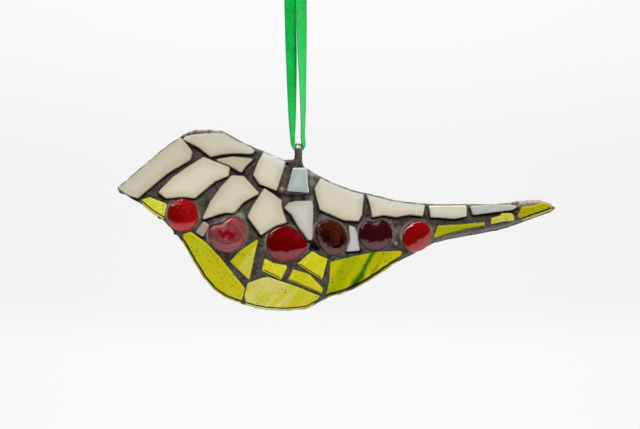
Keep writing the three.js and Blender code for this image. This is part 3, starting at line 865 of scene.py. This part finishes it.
# The height below which a tile's rim counts as the lower rim, where that isn't the eye's centre.
LOWER_RIM_BELOW = {"yellow_tail_tile_tip": -15.6}
# Stored instead of a distance where there is no painted dark line.
NO_LINE = 9.0
# The bird's outline is the edge of the grout's flat back, grown by the bevel around it.
BACK_BEVEL = 0.8
RIM = grown(face_outline("grout_body", 1), BACK_BEVEL)


def grind_flank(tile, node, width):
    """Slopes a tile down to the bird's lower rim. Returns how far each place is from the slope's upper edge,
    below zero on the slope."""
    places = bird_places(tile)
    inward = offset_from(RIM, places[:, :2])
    rim = np.maximum(lengths(inward), LEAST_LENGTH)
    low = places[:, 1] < LOWER_RIM_BELOW.get(node, 0)
    inset = min(rim[low].min(), 0.8 * width)
    spread = (width - FLANK_GAP) / (width - inset)
    reached = np.where(low & (rim < width), FLANK_GAP + (rim - inset) * spread, rim)
    share = smoothstep(0.5, 1.3, places[:, 2]) * (reached / rim - 1)
    places[:, :2] += share[:, None] * inward
    flank = np.where(low, reached - width, NO_LINE)
    front = smoothstep(1.0, 2.4, places[:, 2])
    places[:, 2] -= front * FLANK_SLOPE * np.clip(-flank, 0, width)
    move_to(tile, places)
    return flank


def cut_tile(node, voxel, wave):
    """A tile with softened edges and a slightly uneven face. It stores its tone, and how far each place is
    from the tile's own edge, from the bird's rim and, in half widths, from its painted dark line of shade."""
    tile = merged_copy(node, f"{node}_glass")
    shape_with(tile, "REMESH", mode="VOXEL", voxel_size=voxel * MM)
    shape_with(tile, "DISPLACE", strength=TILE_SWELL * MM, mid_level=0)
    shape_with(tile, "SMOOTH", factor=0.5, iterations=1)
    roughen(tile, 5.0, wave)
    roughen(tile, 1.2, wave / 4)
    outline = grown(face_outline(node, -1), TILE_BEVEL)
    line = np.full(len(tile.data.vertices), NO_LINE)
    if node in GROUND_FLANK:
        width, half_line = GROUND_FLANK[node]
        line = grind_flank(tile, node, width) / half_line
    places = bird_places(tile)[:, :2]
    inward = offset_from(outline, places)
    edge = lengths(inward)
    if node in LOWER_SHADE_LINE:
        distance, half_line = LOWER_SHADE_LINE[node]
        line = np.where(inward[:, 1] > 0.5 * edge, (edge - distance) / half_line, NO_LINE)
    mark(tile, "edge", edge)
    mark(tile, "tone", np.full(len(places), TONES.get(node, 1.0)))
    mark(tile, "rim", distance_to(RIM, places))
    mark(tile, "flank", line)
    smooth_over(tile)
    return tile


IVORY = (rgb(222, 215, 190), rgb(216, 209, 187))
WHITE = opal_glass("white_opal", *IVORY)
WHITE_FINISH = {
    "beak_tile": opal_glass("beak_opal", *IVORY, 0.25),
    "crown_tile": opal_glass("crown_opal", *IVORY, 0.6),
    "nape_tile": opal_glass("nape_opal", *IVORY, 1.0, line_share=0.5),
    "tail_tile_front": opal_glass(
        "tail_opal", rgb(220, 215, 198), rgb(214, 211, 198), 0.5, 0.4, line_share=0.4
    ),
    "tail_tile_rear": opal_glass(
        "blue_white_opal", rgb(214, 219, 214), rgb(207, 214, 213), 0.5, 0.4, line_share=0.4
    ),
}
PALE_EDGE = rgb(206, 214, 210)
GREY_FINISH = {
    "wedge_tile": opal_glass("wedge_opal", rgb(212, 212, 204), rgb(202, 202, 196), 0.0),
    "side_tile": opal_glass("side_opal", rgb(204, 207, 212), rgb(196, 199, 204), 0.0),
    "chip_tile": opal_glass("chip_opal", rgb(188, 177, 163), rgb(164, 153, 141), 0.0),
}
BLUE = opal_glass("blue_opal", rgb(180, 196, 198), rgb(188, 204, 206), 0.2, 0.3, PALE_EDGE)
YELLOW = streaky_glass("yellow_streaky", rgb(192, 186, 8), rgb(208, 200, 62), rgb(172, 166, 0), -0.7, 0.6)
# The dark green of the painted shade line on the streaked tiles.
SHADE_LINE_GREEN = rgb(3, 18, 1)
YELLOW_FINISH = {
    "yellow_belly_tile": streaky_glass(
        "belly_streaky", rgb(199, 192, 54), rgb(214, 207, 128), rgb(186, 178, 36), -0.7, 0.9, 0.25,
        rich_corner,
    ),
    "yellow_chin_tile": streaky_glass(
        "chin_streaky", rgb(206, 199, 44), rgb(216, 209, 90), rgb(190, 184, 20), -0.7, 0.7
    ),
    "yellow_chest_tile": streaky_glass(
        "chest_streaky", rgb(190, 184, 8), rgb(202, 195, 56), rgb(176, 170, 0), 0.9, 0.5, 0.9
    ),
    "yellow_streaked_tile": streaky_glass(
        "green_streaky", rgb(181, 177, 0), rgb(203, 196, 24), rgb(156, 157, 0), -0.53, 0.5, 0.5,
        green_streak, SHADE_LINE_GREEN,
    ),
    "yellow_tail_tile_front": streaky_glass(
        "tail_streaky", rgb(178, 180, 6), rgb(194, 190, 36), rgb(160, 164, 0), 1.2, 0.5, 0.9, None,
        SHADE_LINE_GREEN,
    ),
    "yellow_tail_tile_middle": streaky_glass(
        "pale_streaky", rgb(196, 188, 40), rgb(206, 198, 98), rgb(180, 172, 24), 0.6, 0.8, 0.2
    ),
    "yellow_tail_tile_tip": streaky_glass(
        "tip_streaky", rgb(184, 180, 0), rgb(194, 188, 16), rgb(170, 166, 0), 1.2, 0.4, 0.9
    ),
    "yellow_triangle_tile": streaky_glass(
        "triangle_streaky", rgb(188, 182, 6), rgb(196, 190, 30), rgb(172, 166, 0), -0.7, 0.5, 0.25, pale_half
    ),
}

# The sorts of tiles: their voxel and the depth of their waves, their own finishes and their usual one.
TILE_SORTS = [
    (WHITE_TILES, 0.2, 0.05, WHITE_FINISH, WHITE),
    (GREY_TILES, 0.18, 0.04, GREY_FINISH, None),
    (["blue_tile"], 0.18, 0.03, {}, BLUE),
    (YELLOW_TILES, 0.18, 0.05, YELLOW_FINISH, YELLOW),
]

tiles = {}
for nodes, voxel, wave, finishes, usual in TILE_SORTS:
    for node in nodes:
        tiles[node] = cut_tile(node, voxel, wave)
        set_in_place(tiles[node], node, finishes.get(node, usual))


# Glass drops
# Each drop's colours, in its body, its depth, its lines and its lower part, where a reflection of the pale
# floor is painted, its lines' spacing and share, and its gloss, how blurred the gloss is and how much it
# ripples.
DROP_FINISH = {
    "red_drop": (
        rgb(144, 10, 10), rgb(122, 4, 4), rgb(168, 18, 18), rgb(190, 2, 4), 0.9, 0.3, 0.4, 0.04, 0.5,
    ),
    "pink_drop": (
        rgb(141, 82, 82), rgb(134, 6, 10), rgb(90, 16, 24), rgb(156, 74, 76), 0.62, 0.75, 0.32, 0.06, 0.6,
    ),
    "deep_red_drop": (
        rgb(106, 0, 4), rgb(90, 0, 4), rgb(122, 2, 10), rgb(128, 0, 6), 0.9, 0.3, 0.44, 0.04, 0.5,
    ),
    "brown_drop": (
        rgb(64, 20, 8), rgb(26, 8, 5), rgb(88, 38, 18), rgb(82, 34, 28), 1.1, 0.4, 0.42, 0.04, 0.5,
    ),
    "burgundy_drop": (
        rgb(52, 7, 12), rgb(42, 4, 9), rgb(64, 9, 16), rgb(92, 24, 26), 0.9, 0.3, 0.42, 0.12, 0.25,
    ),
    "rump_drop": (
        rgb(134, 6, 9), rgb(118, 3, 6), rgb(152, 10, 12), rgb(154, 0, 4), 0.9, 0.3, 0.46, 0.03, 0.2,
    ),
}
# Creased patches on the drops' crowns: right, up and radius.
CREASES = {
    "red_drop": [(-33.8, -15.0, 1.9), (-31.3, -16.5, 1.3)],
    "deep_red_drop": [(-8.0, -23.8, 1.0), (-0.5, -24.4, 1.2)],
    "brown_drop": [(6.0, -22.4, 1.2)],
}
# Dull patches on the drops: right, up and radius.
DULLED = {"pink_drop": [(-22.9, -20.9, 3.0)], "burgundy_drop": [(22.6, -20.0, 1.4)]}
# Deep cores in the drops: right, up and radius.
CORES = {
    "pink_drop": [(-22.4, -22.4, 1.3), (-21.2, -23.2, 1.6), (-19.3, -23.3, 1.8), (-20.0, -19.4, 1.5)],
    "brown_drop": [(7.8, -23.8, 1.8)],
}
# Crowns that are bowed and lean. The angle along which the crown is flatter and how far the edge rises there,
# and the angle of the low side and the slope. Angles go anticlockwise from the right.
SHAPED_CROWN = {"rump_drop": (40, 0.8, -60, 0.1)}
# The waves in a poured crown: size and depth.
DROP_WAVES = [(3.4, 0.1), (1.5, 0.05)]
EDGE_ANGLES = np.radians(np.arange(0, 360, 8))


def middle_of(node):
    """The middle of a solid as [right, up], in millimetres."""
    low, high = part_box(node)
    middle = ((low + high) / 2 - EYE) / MM
    return np.array([middle.x, middle.z])


def poured_drop(node):
    """A drop rounded from its faceted solid, as large as it."""
    drop = merged_copy(node, f"{node}_glass")
    edit_whole(drop)
    bpy.ops.mesh.tris_convert_to_quads()
    leave_edit()
    solid = bird_places(drop)
    shape_with(drop, "SUBSURF", levels=3, render_levels=3)
    places = bird_places(drop)
    low, high = places.min(axis=0), places.max(axis=0)
    size = solid.max(axis=0) - solid.min(axis=0)
    places = solid.min(axis=0) + (places - low) * size / (high - low)
    if node in SHAPED_CROWN:
        flatter, rise, low_side, slope = SHAPED_CROWN[node]
        offset = places[:, :2] - middle_of(node)
        reach = np.hypot(*offset.T)
        turns = np.arctan2(offset[:, 1], offset[:, 0])
        bow = rise * (2 * reach / size[:2].mean())**2 * np.cos(2 * (turns - math.radians(flatter)))
        lean = slope * reach * np.cos(turns - math.radians(low_side))
        places[:, 2] += (bow - lean) * smoothstep(0.8, 2.2, places[:, 2])
    move_to(drop, places)
    return drop


def edge_of(drop, middle):
    """The outline of a drop, as [right, up] points in order."""
    offset = bird_places(drop)[:, :2] - middle
    reach = np.hypot(*offset.T)
    turns = np.arctan2(offset[:, 1], offset[:, 0])
    edge = []
    for direction in EDGE_ANGLES:
        beside = np.cos(turns - direction) > math.cos(math.radians(5))
        edge.append(middle + reach[beside].max() * np.array([math.cos(direction), math.sin(direction)]))
    return np.array(edge)


def wave_drop(drop):
    """The slight waves in a poured crown."""
    for size, depth in DROP_WAVES:
        roughen(drop, size, depth)
    smooth_over(drop)


drops = {}
drop_edges = {}
for node in DROPS:
    drops[node] = poured_drop(node)
    middle = middle_of(node)
    drop_edges[node] = edge_of(drops[node], middle)
    mark(drops[node], "edge", distance_to(drop_edges[node], bird_places(drops[node])[:, :2]))
    accent = dark_hook if node == "brown_drop" else None
    glass = drop_glass(
        node.replace("drop", "poured"), *DROP_FINISH[node], place(*middle),
        CORES.get(node, []), CREASES.get(node, []), DULLED.get(node, []), accent,
    )
    set_in_place(drops[node], node, glass)


# Hanging eye
EYE_RADIUS = 2.2
WIRE_RADIUS = 0.8


def eye_ring(wire, around, across):
    """A ring about the eye's centre, seen edge-on from the front, of a wire with the given radius."""
    bpy.ops.mesh.primitive_torus_add(
        location=EYE, rotation=(0, math.radians(90), 0), major_radius=EYE_RADIUS * MM, minor_radius=wire * MM,
        major_segments=around, minor_segments=across,
    )
    bpy.ops.object.transform_apply(location=True, rotation=True, scale=True)
    return bpy.context.object


def wire_eye():
    eye = eye_ring(WIRE_RADIUS, 64, 24)
    eye.name = "wire_eye"
    roughen(eye, 0.9, 0.03)
    smooth_over(eye)
    return eye


set_in_place(wire_eye(), "hanging_eye", wire_finish())


# Grout
GROUT_VOXEL = 0.3
# The share of its triangles that the grout keeps, which brings it under 200,000.
GROUT_KEPT = 0.7
# The roughness of the grout: size and depth.
GROUT_WAVES = [(2.2, 0.15), (0.7, 0.1)]
GROUT_FRONT = 2.2
GROUT_BACK = -3.0
# How far the grout reaches into the glass that it holds, so that it closes on it.
BED_OVERLAP = 0.1
# The raised block that carries the blue tile.
MOUND = [
    (-3.4, -2.4), (-1.2, -2.0), (1.0, -2.2), (1.5, -4.1), (2.9, -5.4), (3.7, -11.8), (-5.8, -11.5),
    (-4.2, -5.0),
]
MOUND_FRONT = 3.05
MOUND_BACK = -2.4
MOUND_BEVEL = 0.5
# The line of the drops, and how much higher the grout lies below it, around the yellow tiles.
DROP_LINE = [
    (-52, -10), (-45, -12), (-33, -18), (-20, -24), (-3, -27), (9, -26), (22, -24), (34, -21), (45, -19.5),
    (62, -17.5), (74, -16),
]
YELLOW_LEVEL = 0.45
# The coat of grout on the lower part of the eye, and the shoulder under it: the height of its middle, its
# size across, in depth and up, and how its upper side narrows.
COAT_RADIUS = 1.05
COAT_TOP = 1.25
SHOULDER_UP = -3.3
SHOULDER_SIZE = (2.9, 6.0, 4.2)
SHOULDER_TAPER = (0.72, 0.95, 1)
SHOULDER_TOP = -1.2
# Collars of grout on the drops: the first and last angle of each, anticlockwise from the right.
COLLARS = {
    "red_drop": (10, 170), "pink_drop": (-20, 200), "deep_red_drop": (40, 170), "brown_drop": (-10, 250),
    "burgundy_drop": (-30, 250), "rump_drop": (30, 200),
}
# Lumps: right, up, height, and half sizes across, up and in depth.
LUMPS = [
    (-2.7, -3.3, 0.4, 1.9, 1.3, 2.4), (-3.3, -5.0, 2.4, 0.9, 1.4, 1.5), (-3.9, -7.0, 2.6, 1.0, 1.5, 1.4),
    (-4.5, -9.0, 2.7, 1.0, 1.5, 1.3), (-4.9, -10.6, 2.7, 1.2, 1.1, 1.5), (-3.2, -11.1, 2.4, 1.6, 0.7, 1.3),
    (0.0, -11.3, 2.4, 2.2, 0.6, 1.2), (2.8, -11.1, 2.4, 1.5, 0.7, 1.2), (3.4, -8.5, 2.5, 0.9, 2.6, 1.2),
    (-22.4, -19.6, 2.2, 1.6, 1.0, 1.5), (-23.6, -19.8, 2.1, 1.4, 1.0, 1.3),
    (-39.7, -18.6, 1.2, 0.6, 0.55, 0.9), (-35.2, -23.1, 1.2, 0.55, 0.6, 0.9),
    (-29.7, -31.1, 1.1, 0.45, 0.5, 0.8), (73.1, -15.95, 0.6, 0.7, 0.45, 1.1),
]
# Pits pressed into the front, and bumps raised on it: right, up, radius and depth.
DENTS = [
    (4.3, -26.4, 1.4, 1.6), (5.2, -27.4, 1.2, 1.5), (3.6, -27.6, 1.0, 1.2), (-3.1, -3.5, 0.5, 1.0),
    (19.7, -18.1, 0.55, 0.8), (-11.4, -26.7, 0.4, 0.6), (-10.9, -26.7, 0.4, 0.6), (-10.3, -26.8, 0.4, 0.6),
    (-4.7, -10.5, 0.9, -0.3), (27.8, -26.0, 0.7, -0.5), (27.7, -22.5, 0.4, -0.4),
]
# Patches of paler grout, partly smeared and partly painted light over grout in shadow, or, below zero, darker
# grout with painted shade: right, up, radius and share.
SMEAR_LIGHT_AND_SHADE_PATCHES = [
    (4.6, -5.2, 2.6, 0.8), (4.0, -8.8, 1.8, 0.6), (-19.3, -18.1, 2.3, 1.0), (-16.9, -18.2, 2.2, 1.0),
    (-3.5, -13.2, 1.9, 0.55), (0.0, -13.3, 1.9, 0.6), (3.2, -13.1, 1.9, 0.55),
    (7.6, -18.2, 1.8, 0.55), (28.7, -22.2, 1.6, 0.4), (-24.9, -11.6, 2.5, 0.2), (-31.0, 5.0, 3.0, 1.0),
    (-27.5, 6.0, 3.0, 1.0), (-23.5, 6.4, 2.5, 1.0), (-20.3, -30.2, 2.6, -0.8), (-11.6, -32.7, 2.0, -0.3),
]
# Grooves pressed into the front: their points, their half width and their depth.
GROOVES = [
    ([(-6.4, -11.4), (-3.0, -12.1), (0.0, -12.2), (3.4, -11.9)], 0.35, 0.35),
    ([(-4.3, -4.6), (-5.3, -7.4), (-6.3, -10.8)], 0.4, 0.6),
]
# Thin lips of grout along the upper rim: the first and last place of each, from left to right, its half width
# and how far it is set in.
LIPS = [((-33.8, 4.2), (-21.0, 6.3), 0.62, 0.4), ((36.5, -15.2), (62.0, -15.0), 0.3, 0.2)]
LIP_STEP = 0.5
LIP_HEIGHT = 2.3
# How far and how deep the grout is hollowed under the lower edges of the proud tiles.
UNDERCUT_REACH = 1.0
UNDERCUT_DEPTH = 0.9
# How dark the painted shade makes the grout in crevices, grooves and pits.
CREVICE_SHADE_SHARE = 0.65
# Where the tail begins and how gradually, and how wide and how deep its lower rim slopes off.
TAIL_FROM = 36.0
TAIL_SPREAD = 8.0
TAIL_FLANK_WIDTH = 3.0
TAIL_FLANK_DROP = 0.9


def prism(name, outline, back, front, edge):
    """A block with the given outline between two heights, with both of its edges bevelled."""
    mesh = bpy.data.meshes.new(name)
    corners = [place(right, up, back + edge) for right, up in outline]
    mesh.from_pydata(corners, [], [range(len(corners))])
    block = new_piece(name, mesh)
    edit_whole(block)
    rise = front - back - 2 * edge
    bpy.ops.mesh.extrude_region_move(TRANSFORM_OT_translate={"value": (0, -rise * MM, 0)})
    bpy.ops.mesh.select_all(action="SELECT")
    bpy.ops.mesh.normals_make_consistent(inside=False)
    leave_edit()
    for polygon in mesh.polygons:
        polygon.select = abs(polygon.normal.y) > 0.9
    edit(block)
    bpy.ops.mesh.inset(thickness=edge * MM, depth=edge * MM, use_individual=True)
    leave_edit()
    return block


def round_lump():
    """A ball one millimetre in radius, around the eye's centre."""
    bpy.ops.mesh.primitive_ico_sphere_add(subdivisions=3, radius=MM, location=EYE)
    bpy.ops.object.transform_apply(location=True, rotation=True, scale=True)
    return bpy.context.object


def bead(right, up, height, half):
    """A rounded lump of grout with half sizes across, up and in depth."""
    lump = new_piece("lump", ROUND_LUMP.data.copy())
    move_to(lump, np.array([right, up, height]) + bird_places(lump) * half)
    return lump


def collar(node):
    """A row of lumps around the upper side of a drop."""
    draw = random.Random(node)
    centre = middle_of(node)
    first, last = COLLARS[node]
    lumps = []
    for edge, angle in zip(drop_edges[node], np.degrees(EDGE_ANGLES)):
        if first <= angle <= last or first <= angle - 360:
            away = (edge - centre) / np.linalg.norm(edge - centre)
            size = draw.uniform(0.75, 0.95)
            right, up = edge + (size - 0.15) * away
            lumps.append(bead(right, up, 1.6, (size, size, size + 0.1)))
    return lumps


def lip(first, last, half, inset):
    """A row of small lumps along the bird's upper rim between two places."""
    draw = random.Random(f"lip {half}")
    course = grown(RIM, -inset)
    start, end = [int(np.argmin(np.hypot(*(RIM - spot).T))) for spot in (first, last)]
    forwards = np.roll(course, -start, axis=0)[:(end - start) % len(RIM) + 1]
    backwards = np.roll(course[::-1], start + 1, axis=0)[:(start - end) % len(RIM) + 1]
    run = min(forwards, backwards, key=len)
    travelled = travelled_along(run)
    lumps = []
    for station in np.arange(0, travelled[-1], LIP_STEP):
        right, up = [np.interp(station, travelled, column) for column in run.T]
        size = half * draw.uniform(0.75, 1.2)
        lumps.append(bead(right, up, LIP_HEIGHT + draw.uniform(-0.15, 0.15), (1.3 * size, size, size)))
    return lumps


def neck():
    """Grout on the lower part of the wire eye, and the shoulder that it stands in."""
    coat = eye_ring(COAT_RADIUS, 48, 20)
    edit_whole(coat)
    bpy.ops.mesh.bisect(plane_co=place(0, COAT_TOP), plane_no=(0, 0, 1), clear_outer=True, use_fill=True)
    leave_edit()
    bpy.ops.mesh.primitive_cube_add(size=1, location=place(0, SHOULDER_UP))
    shoulder = bpy.context.object
    shoulder.scale = Vector(SHOULDER_SIZE) * MM
    select_only(shoulder)
    bpy.ops.object.transform_apply(location=True, rotation=True, scale=True)
    for vertex in shoulder.data.vertices:
        vertex.select = vertex.co.z > place(0, SHOULDER_UP).z
    edit(shoulder, "VERT")
    bpy.ops.transform.resize(value=SHOULDER_TAPER, center_override=place(0, SHOULDER_TOP))
    leave_edit()
    shape_with(shoulder, "BEVEL", width=0.5 * MM, segments=3)
    return [coat, shoulder]


def bed_cutters():
    """All that lies in the grout, a little smaller, so that the grout closes on the glass."""
    cutters = [merged_copy(node, "cutter") for node in ["hanging_eye", *tiles] if node not in GROUND_FLANK]
    for piece in [*drops.values(), *[tiles[node] for node in GROUND_FLANK]]:
        cutters.append(new_piece("cutter", piece.data.copy()))
    for cutter in cutters:
        shape_with(cutter, "DISPLACE", strength=-BED_OVERLAP * MM, mid_level=0)
    return joined(cutters, "cutters")


def crevices(places):
    """How deep each place lies under the lower edges of the proud tiles, from 0 to 1."""
    depth = np.zeros(len(places))
    for outline in proud_outlines:
        offset = offset_from(outline, places[:, :2])
        away = np.maximum(lengths(offset), LEAST_LENGTH)
        below = np.clip(-offset[:, 1] / away, 0, 1)
        near = (1 - smoothstep(0.55, UNDERCUT_REACH, away)) * ~is_inside(outline, places[:, :2])
        depth = np.maximum(depth, below * near)
    return depth


def groove_depth(places):
    """How far the grooves press each place down, in millimetres."""
    depth = np.zeros(len(places))
    for points, half_width, deep in GROOVES:
        points = np.array(points)
        away = distance_to(np.vstack([points, points[-2:0:-1]]), places[:, :2])
        depth = np.maximum(depth, deep * (1 - smoothstep(0.3 * half_width, half_width, away)))
    return depth


def on_tail(places):
    """How far each place counts as part of the tail, from 0 to 1."""
    return smoothstep(TAIL_FROM, TAIL_FROM + TAIL_SPREAD, places[:, 0])


def near_spot(places, right, up, radius, core):
    """How near each place is to a spot: 1 within a share of the radius and 0 beyond the radius."""
    away = np.hypot(places[:, 0] - right, places[:, 1] - up)
    return 1 - smoothstep(core * radius, radius, away)


def dent_front(cast):
    """Presses pits, grooves and undercuts, raises bumps, and lifts the level around the yellow tiles."""
    places = bird_places(cast)
    front = smoothstep(0.6, 1.6, places[:, 2])
    line_right, line_up = np.array(DROP_LINE).T
    below = np.interp(places[:, 0], line_right, line_up) - places[:, 1]
    rim = distance_to(RIM, places[:, :2])
    places[:, 2] += front * YELLOW_LEVEL * smoothstep(0.0, 2.5, below) * smoothstep(0.2, 1.4, rim)
    places[:, 2] -= front * np.maximum(groove_depth(places), UNDERCUT_DEPTH * crevices(places))
    tail = on_tail(places) * (below > -0.5)
    places[:, 2] -= front * tail * TAIL_FLANK_DROP * (1 - smoothstep(0.2, TAIL_FLANK_WIDTH, rim))
    for right, up, radius, depth in DENTS:
        places[:, 2] -= front * depth * near_spot(places, right, up, radius, 0.35)
    move_to(cast, places)


def drop_smear_and_light(places):
    """How pale the grout is on the upper sides of the drops: partly grout smeared up them, partly painted
    light on collars that face up.
    """
    smear = np.zeros(len(places))
    for edge in drop_edges.values():
        offset = offset_from(edge, places[:, :2])
        away = np.maximum(lengths(offset), LEAST_LENGTH)
        upper = smoothstep(-0.9, 0.3, offset[:, 1] / away)
        smear = np.maximum(smear, upper * (1 - smoothstep(0.15, 1.0, away)))
    return smear


def mound_smear_and_light(places):
    """How pale the grout is on the top and the left side of the mound, partly smeared grout and partly
    painted light on its upper edges.
    """
    right, up, _ = places.T
    left_side = smoothstep(-2.4, -3.4, right + 0.25 * (up + 5))
    return 0.12 * (np.maximum(smoothstep(-4, -2, up), left_side) * (up > -11)) * (np.abs(right) < 5.5)


def tail_smear_and_light(places):
    """How pale the grout is along the rim of the tail, most of all along its upper rim: partly pale grout,
    partly painted light, from the floor on the lower rim and over the lip's shadow on the upper rim.
    """
    right, up, _ = places.T
    rim = distance_to(RIM, places[:, :2])
    whole_rim = 0.45 * on_tail(places) * (1 - smoothstep(0.4, 1.8, rim))
    reach = 0.9 + 1.1 * smoothstep(56, 60, right)
    upper_rim = smoothstep(34, 37, right) * (up > -17) * (1 - smoothstep(0.5, 1.0, rim / reach))
    return np.maximum(whole_rim, 1.15 * upper_rim)


def mark_smear_light_and_shade(cast):
    """Stores where the front of the grout is pale from smearing and painted light, and dark with painted
    shade in crevices, grooves and pits.
    """
    places = bird_places(cast)
    smear = np.maximum.reduce([drop_smear_and_light(places), mound_smear_and_light(places), tail_smear_and_light(places)])
    deep = np.maximum(crevices(places), groove_depth(places))
    # Pits are painted dark with shade, and raised bumps are painted pale.
    for right, up, radius, depth in DENTS:
        near = near_spot(places, right, up, radius, 0.5)
        smear = np.maximum(smear, (depth < 0) * near)
        deep = np.maximum(deep, (depth > 0) * near)
    # Paler patches are partly smears and partly painted light; darker patches are painted shade.
    for right, up, radius, share in SMEAR_LIGHT_AND_SHADE_PATCHES:
        near = near_spot(places, right, up, radius, 0.3)
        smear = np.maximum(smear, share * near)
        deep = np.maximum(deep, -share * near)
    front = smoothstep(-0.5, 1.0, places[:, 2])
    mark(cast, "crevice_shade", CREVICE_SHADE_SHARE * front * deep.clip(0, 1))
    mark(cast, "smear", front * smear)


def grout_forms():
    """The slab, the mound, the neck, and the collars, lumps and lips on them, as one piece."""
    forms = [
        prism("slab", RIM, GROUT_BACK, GROUT_FRONT, BACK_BEVEL),
        prism("mound", MOUND, MOUND_BACK, MOUND_FRONT, MOUND_BEVEL),
        *neck(),
    ]
    for node in DROPS:
        forms += collar(node)
    forms += [bead(right, up, height, half) for right, up, height, *half in LUMPS]
    for stretch in LIPS:
        forms += lip(*stretch)
    return joined(forms, "grout_cast")


def cast_grout():
    """The grout: its forms run together, dented and roughened, with a bed for every piece."""
    cast = grout_forms()
    shape_with(cast, "REMESH", mode="VOXEL", voxel_size=GROUT_VOXEL * MM)
    shape_with(cast, "SMOOTH", factor=0.5, iterations=3)
    dent_front(cast)
    for size, depth in GROUT_WAVES:
        roughen(cast, size, depth)
    cutters = bed_cutters()
    shape_with(cast, "BOOLEAN", object=cutters, operation="DIFFERENCE", solver="MANIFOLD")
    bpy.data.objects.remove(cutters)
    shape_with(cast, "DECIMATE", ratio=GROUT_KEPT)
    mark_smear_light_and_shade(cast)
    smooth_over(cast, 45)
    return cast


ROUND_LUMP = round_lump()
proud_outlines = [face_outline(node, -1) for node in [*WHITE_TILES, *GREY_TILES]]
set_in_place(cast_grout(), "grout_body", grout_finish())
bpy.data.objects.remove(ROUND_LUMP)
for drop in drops.values():
    wave_drop(drop)


# Stage. The floor's reach in depth and to each side, and the lamps' offsets and sizes, are in metres.
FLOOR_UP = -117.0
FLOOR_FRONT = -0.115
FLOOR_BACK = 0.9
FLOOR_HALF = 0.7
LAMP_AIM = place(6.2, -18.0)
# How bright the backdrop is in the middle and at the sides, and how much brighter above and below.
BACKDROP_MIDDLE = 0.902
BACKDROP_SIDES = 0.885
BACKDROP_BAND = 0.066
# The lamps: their names, offsets from the aim, widths, heights, powers and whether they show in gloss.
LAMPS = [
    ("key", (0.26, -0.4, 0.64), 0.35, 0.35, 7.6, False),
    ("fill", (0.1, -0.9, 0.1), 1.0, 1.0, 1.0, False),
    ("overhead", (0.0, 0.1, 0.5), 0.3, 0.3, 3.6, False),
    ("highlight", (-0.31, -0.08, 0.48), 0.08, 0.6, 2.0, True),
]


def pale_floor():
    centre = (0, (FLOOR_FRONT + FLOOR_BACK) / 2, place(0, FLOOR_UP).z)
    bpy.ops.mesh.primitive_plane_add(size=1, location=centre)
    floor = bpy.context.object
    floor.name = "floor"
    floor.scale = (2 * FLOOR_HALF, FLOOR_BACK - FLOOR_FRONT, 1)
    material, tree, surface = new_material("floor")
    shade = ranged(tree, noise(tree, object_place(tree), 300.0), 0.3, 0.7)
    dress(tree, surface, mixed(tree, shade, rgb(240, 240, 241), rgb(246, 246, 246)), 0.9)
    floor.data.materials.append(material)
    floor.visible_camera = False


def area_lamp(name, offset, width, height, power, in_gloss):
    """A rectangular lamp that looks at the bird from an offset. It either shows in gloss or lights."""
    bpy.ops.object.light_add(type="AREA", location=LAMP_AIM + Vector(offset))
    lamp = bpy.context.object
    lamp.name = name
    lamp.rotation_euler = (-Vector(offset)).to_track_quat("-Z", "Y").to_euler()
    lamp.data.shape = "RECTANGLE"
    lamp.data.size = width
    lamp.data.size_y = height
    lamp.data.energy = power
    lamp.visible_glossy = in_gloss
    lamp.visible_diffuse = not in_gloss


def studio_world():
    """A pale backdrop for the camera. For the light it is brighter behind the bird than in front of it."""
    world = bpy.data.worlds.new("studio")
    bpy.context.scene.world = world
    world.use_nodes = True
    tree = world.node_tree
    tree.nodes.clear()
    across, depth, rise = parts_of(tree, add_node(tree, "TexCoord").outputs["Generated"])
    glow = ranged(tree, depth, -0.35, 0.6, 0.02, 0.75)
    lighting = add_node(tree, "Background", {"Color": (1, 1, 1, 1), "Strength": glow})
    lower = ranged(tree, rise, -0.08, -0.042, BACKDROP_BAND, 0)
    upper = ranged(tree, rise, 0.02, 0.12, 0, BACKDROP_BAND)
    from_middle = math_of(tree, "ABSOLUTE", across)
    sides = ranged(tree, from_middle, 0.05, 0.2, BACKDROP_MIDDLE, BACKDROP_SIDES)
    pale = plus(tree, plus(tree, lower, upper), sides)
    backdrop = add_node(tree, "Background", {"Color": (1, 1, 1, 1), "Strength": pale})
    seen = add_node(tree, "LightPath").outputs["Is Camera Ray"]
    both = add_node(tree, "MixShader", {0: seen, 1: lighting.outputs[0], 2: backdrop.outputs[0]})
    output = add_node(tree, "OutputWorld", {"Surface": both.outputs[0]})
    output.is_active_output = True


pale_floor()
studio_world()
for lamp in LAMPS:
    area_lamp(*lamp)
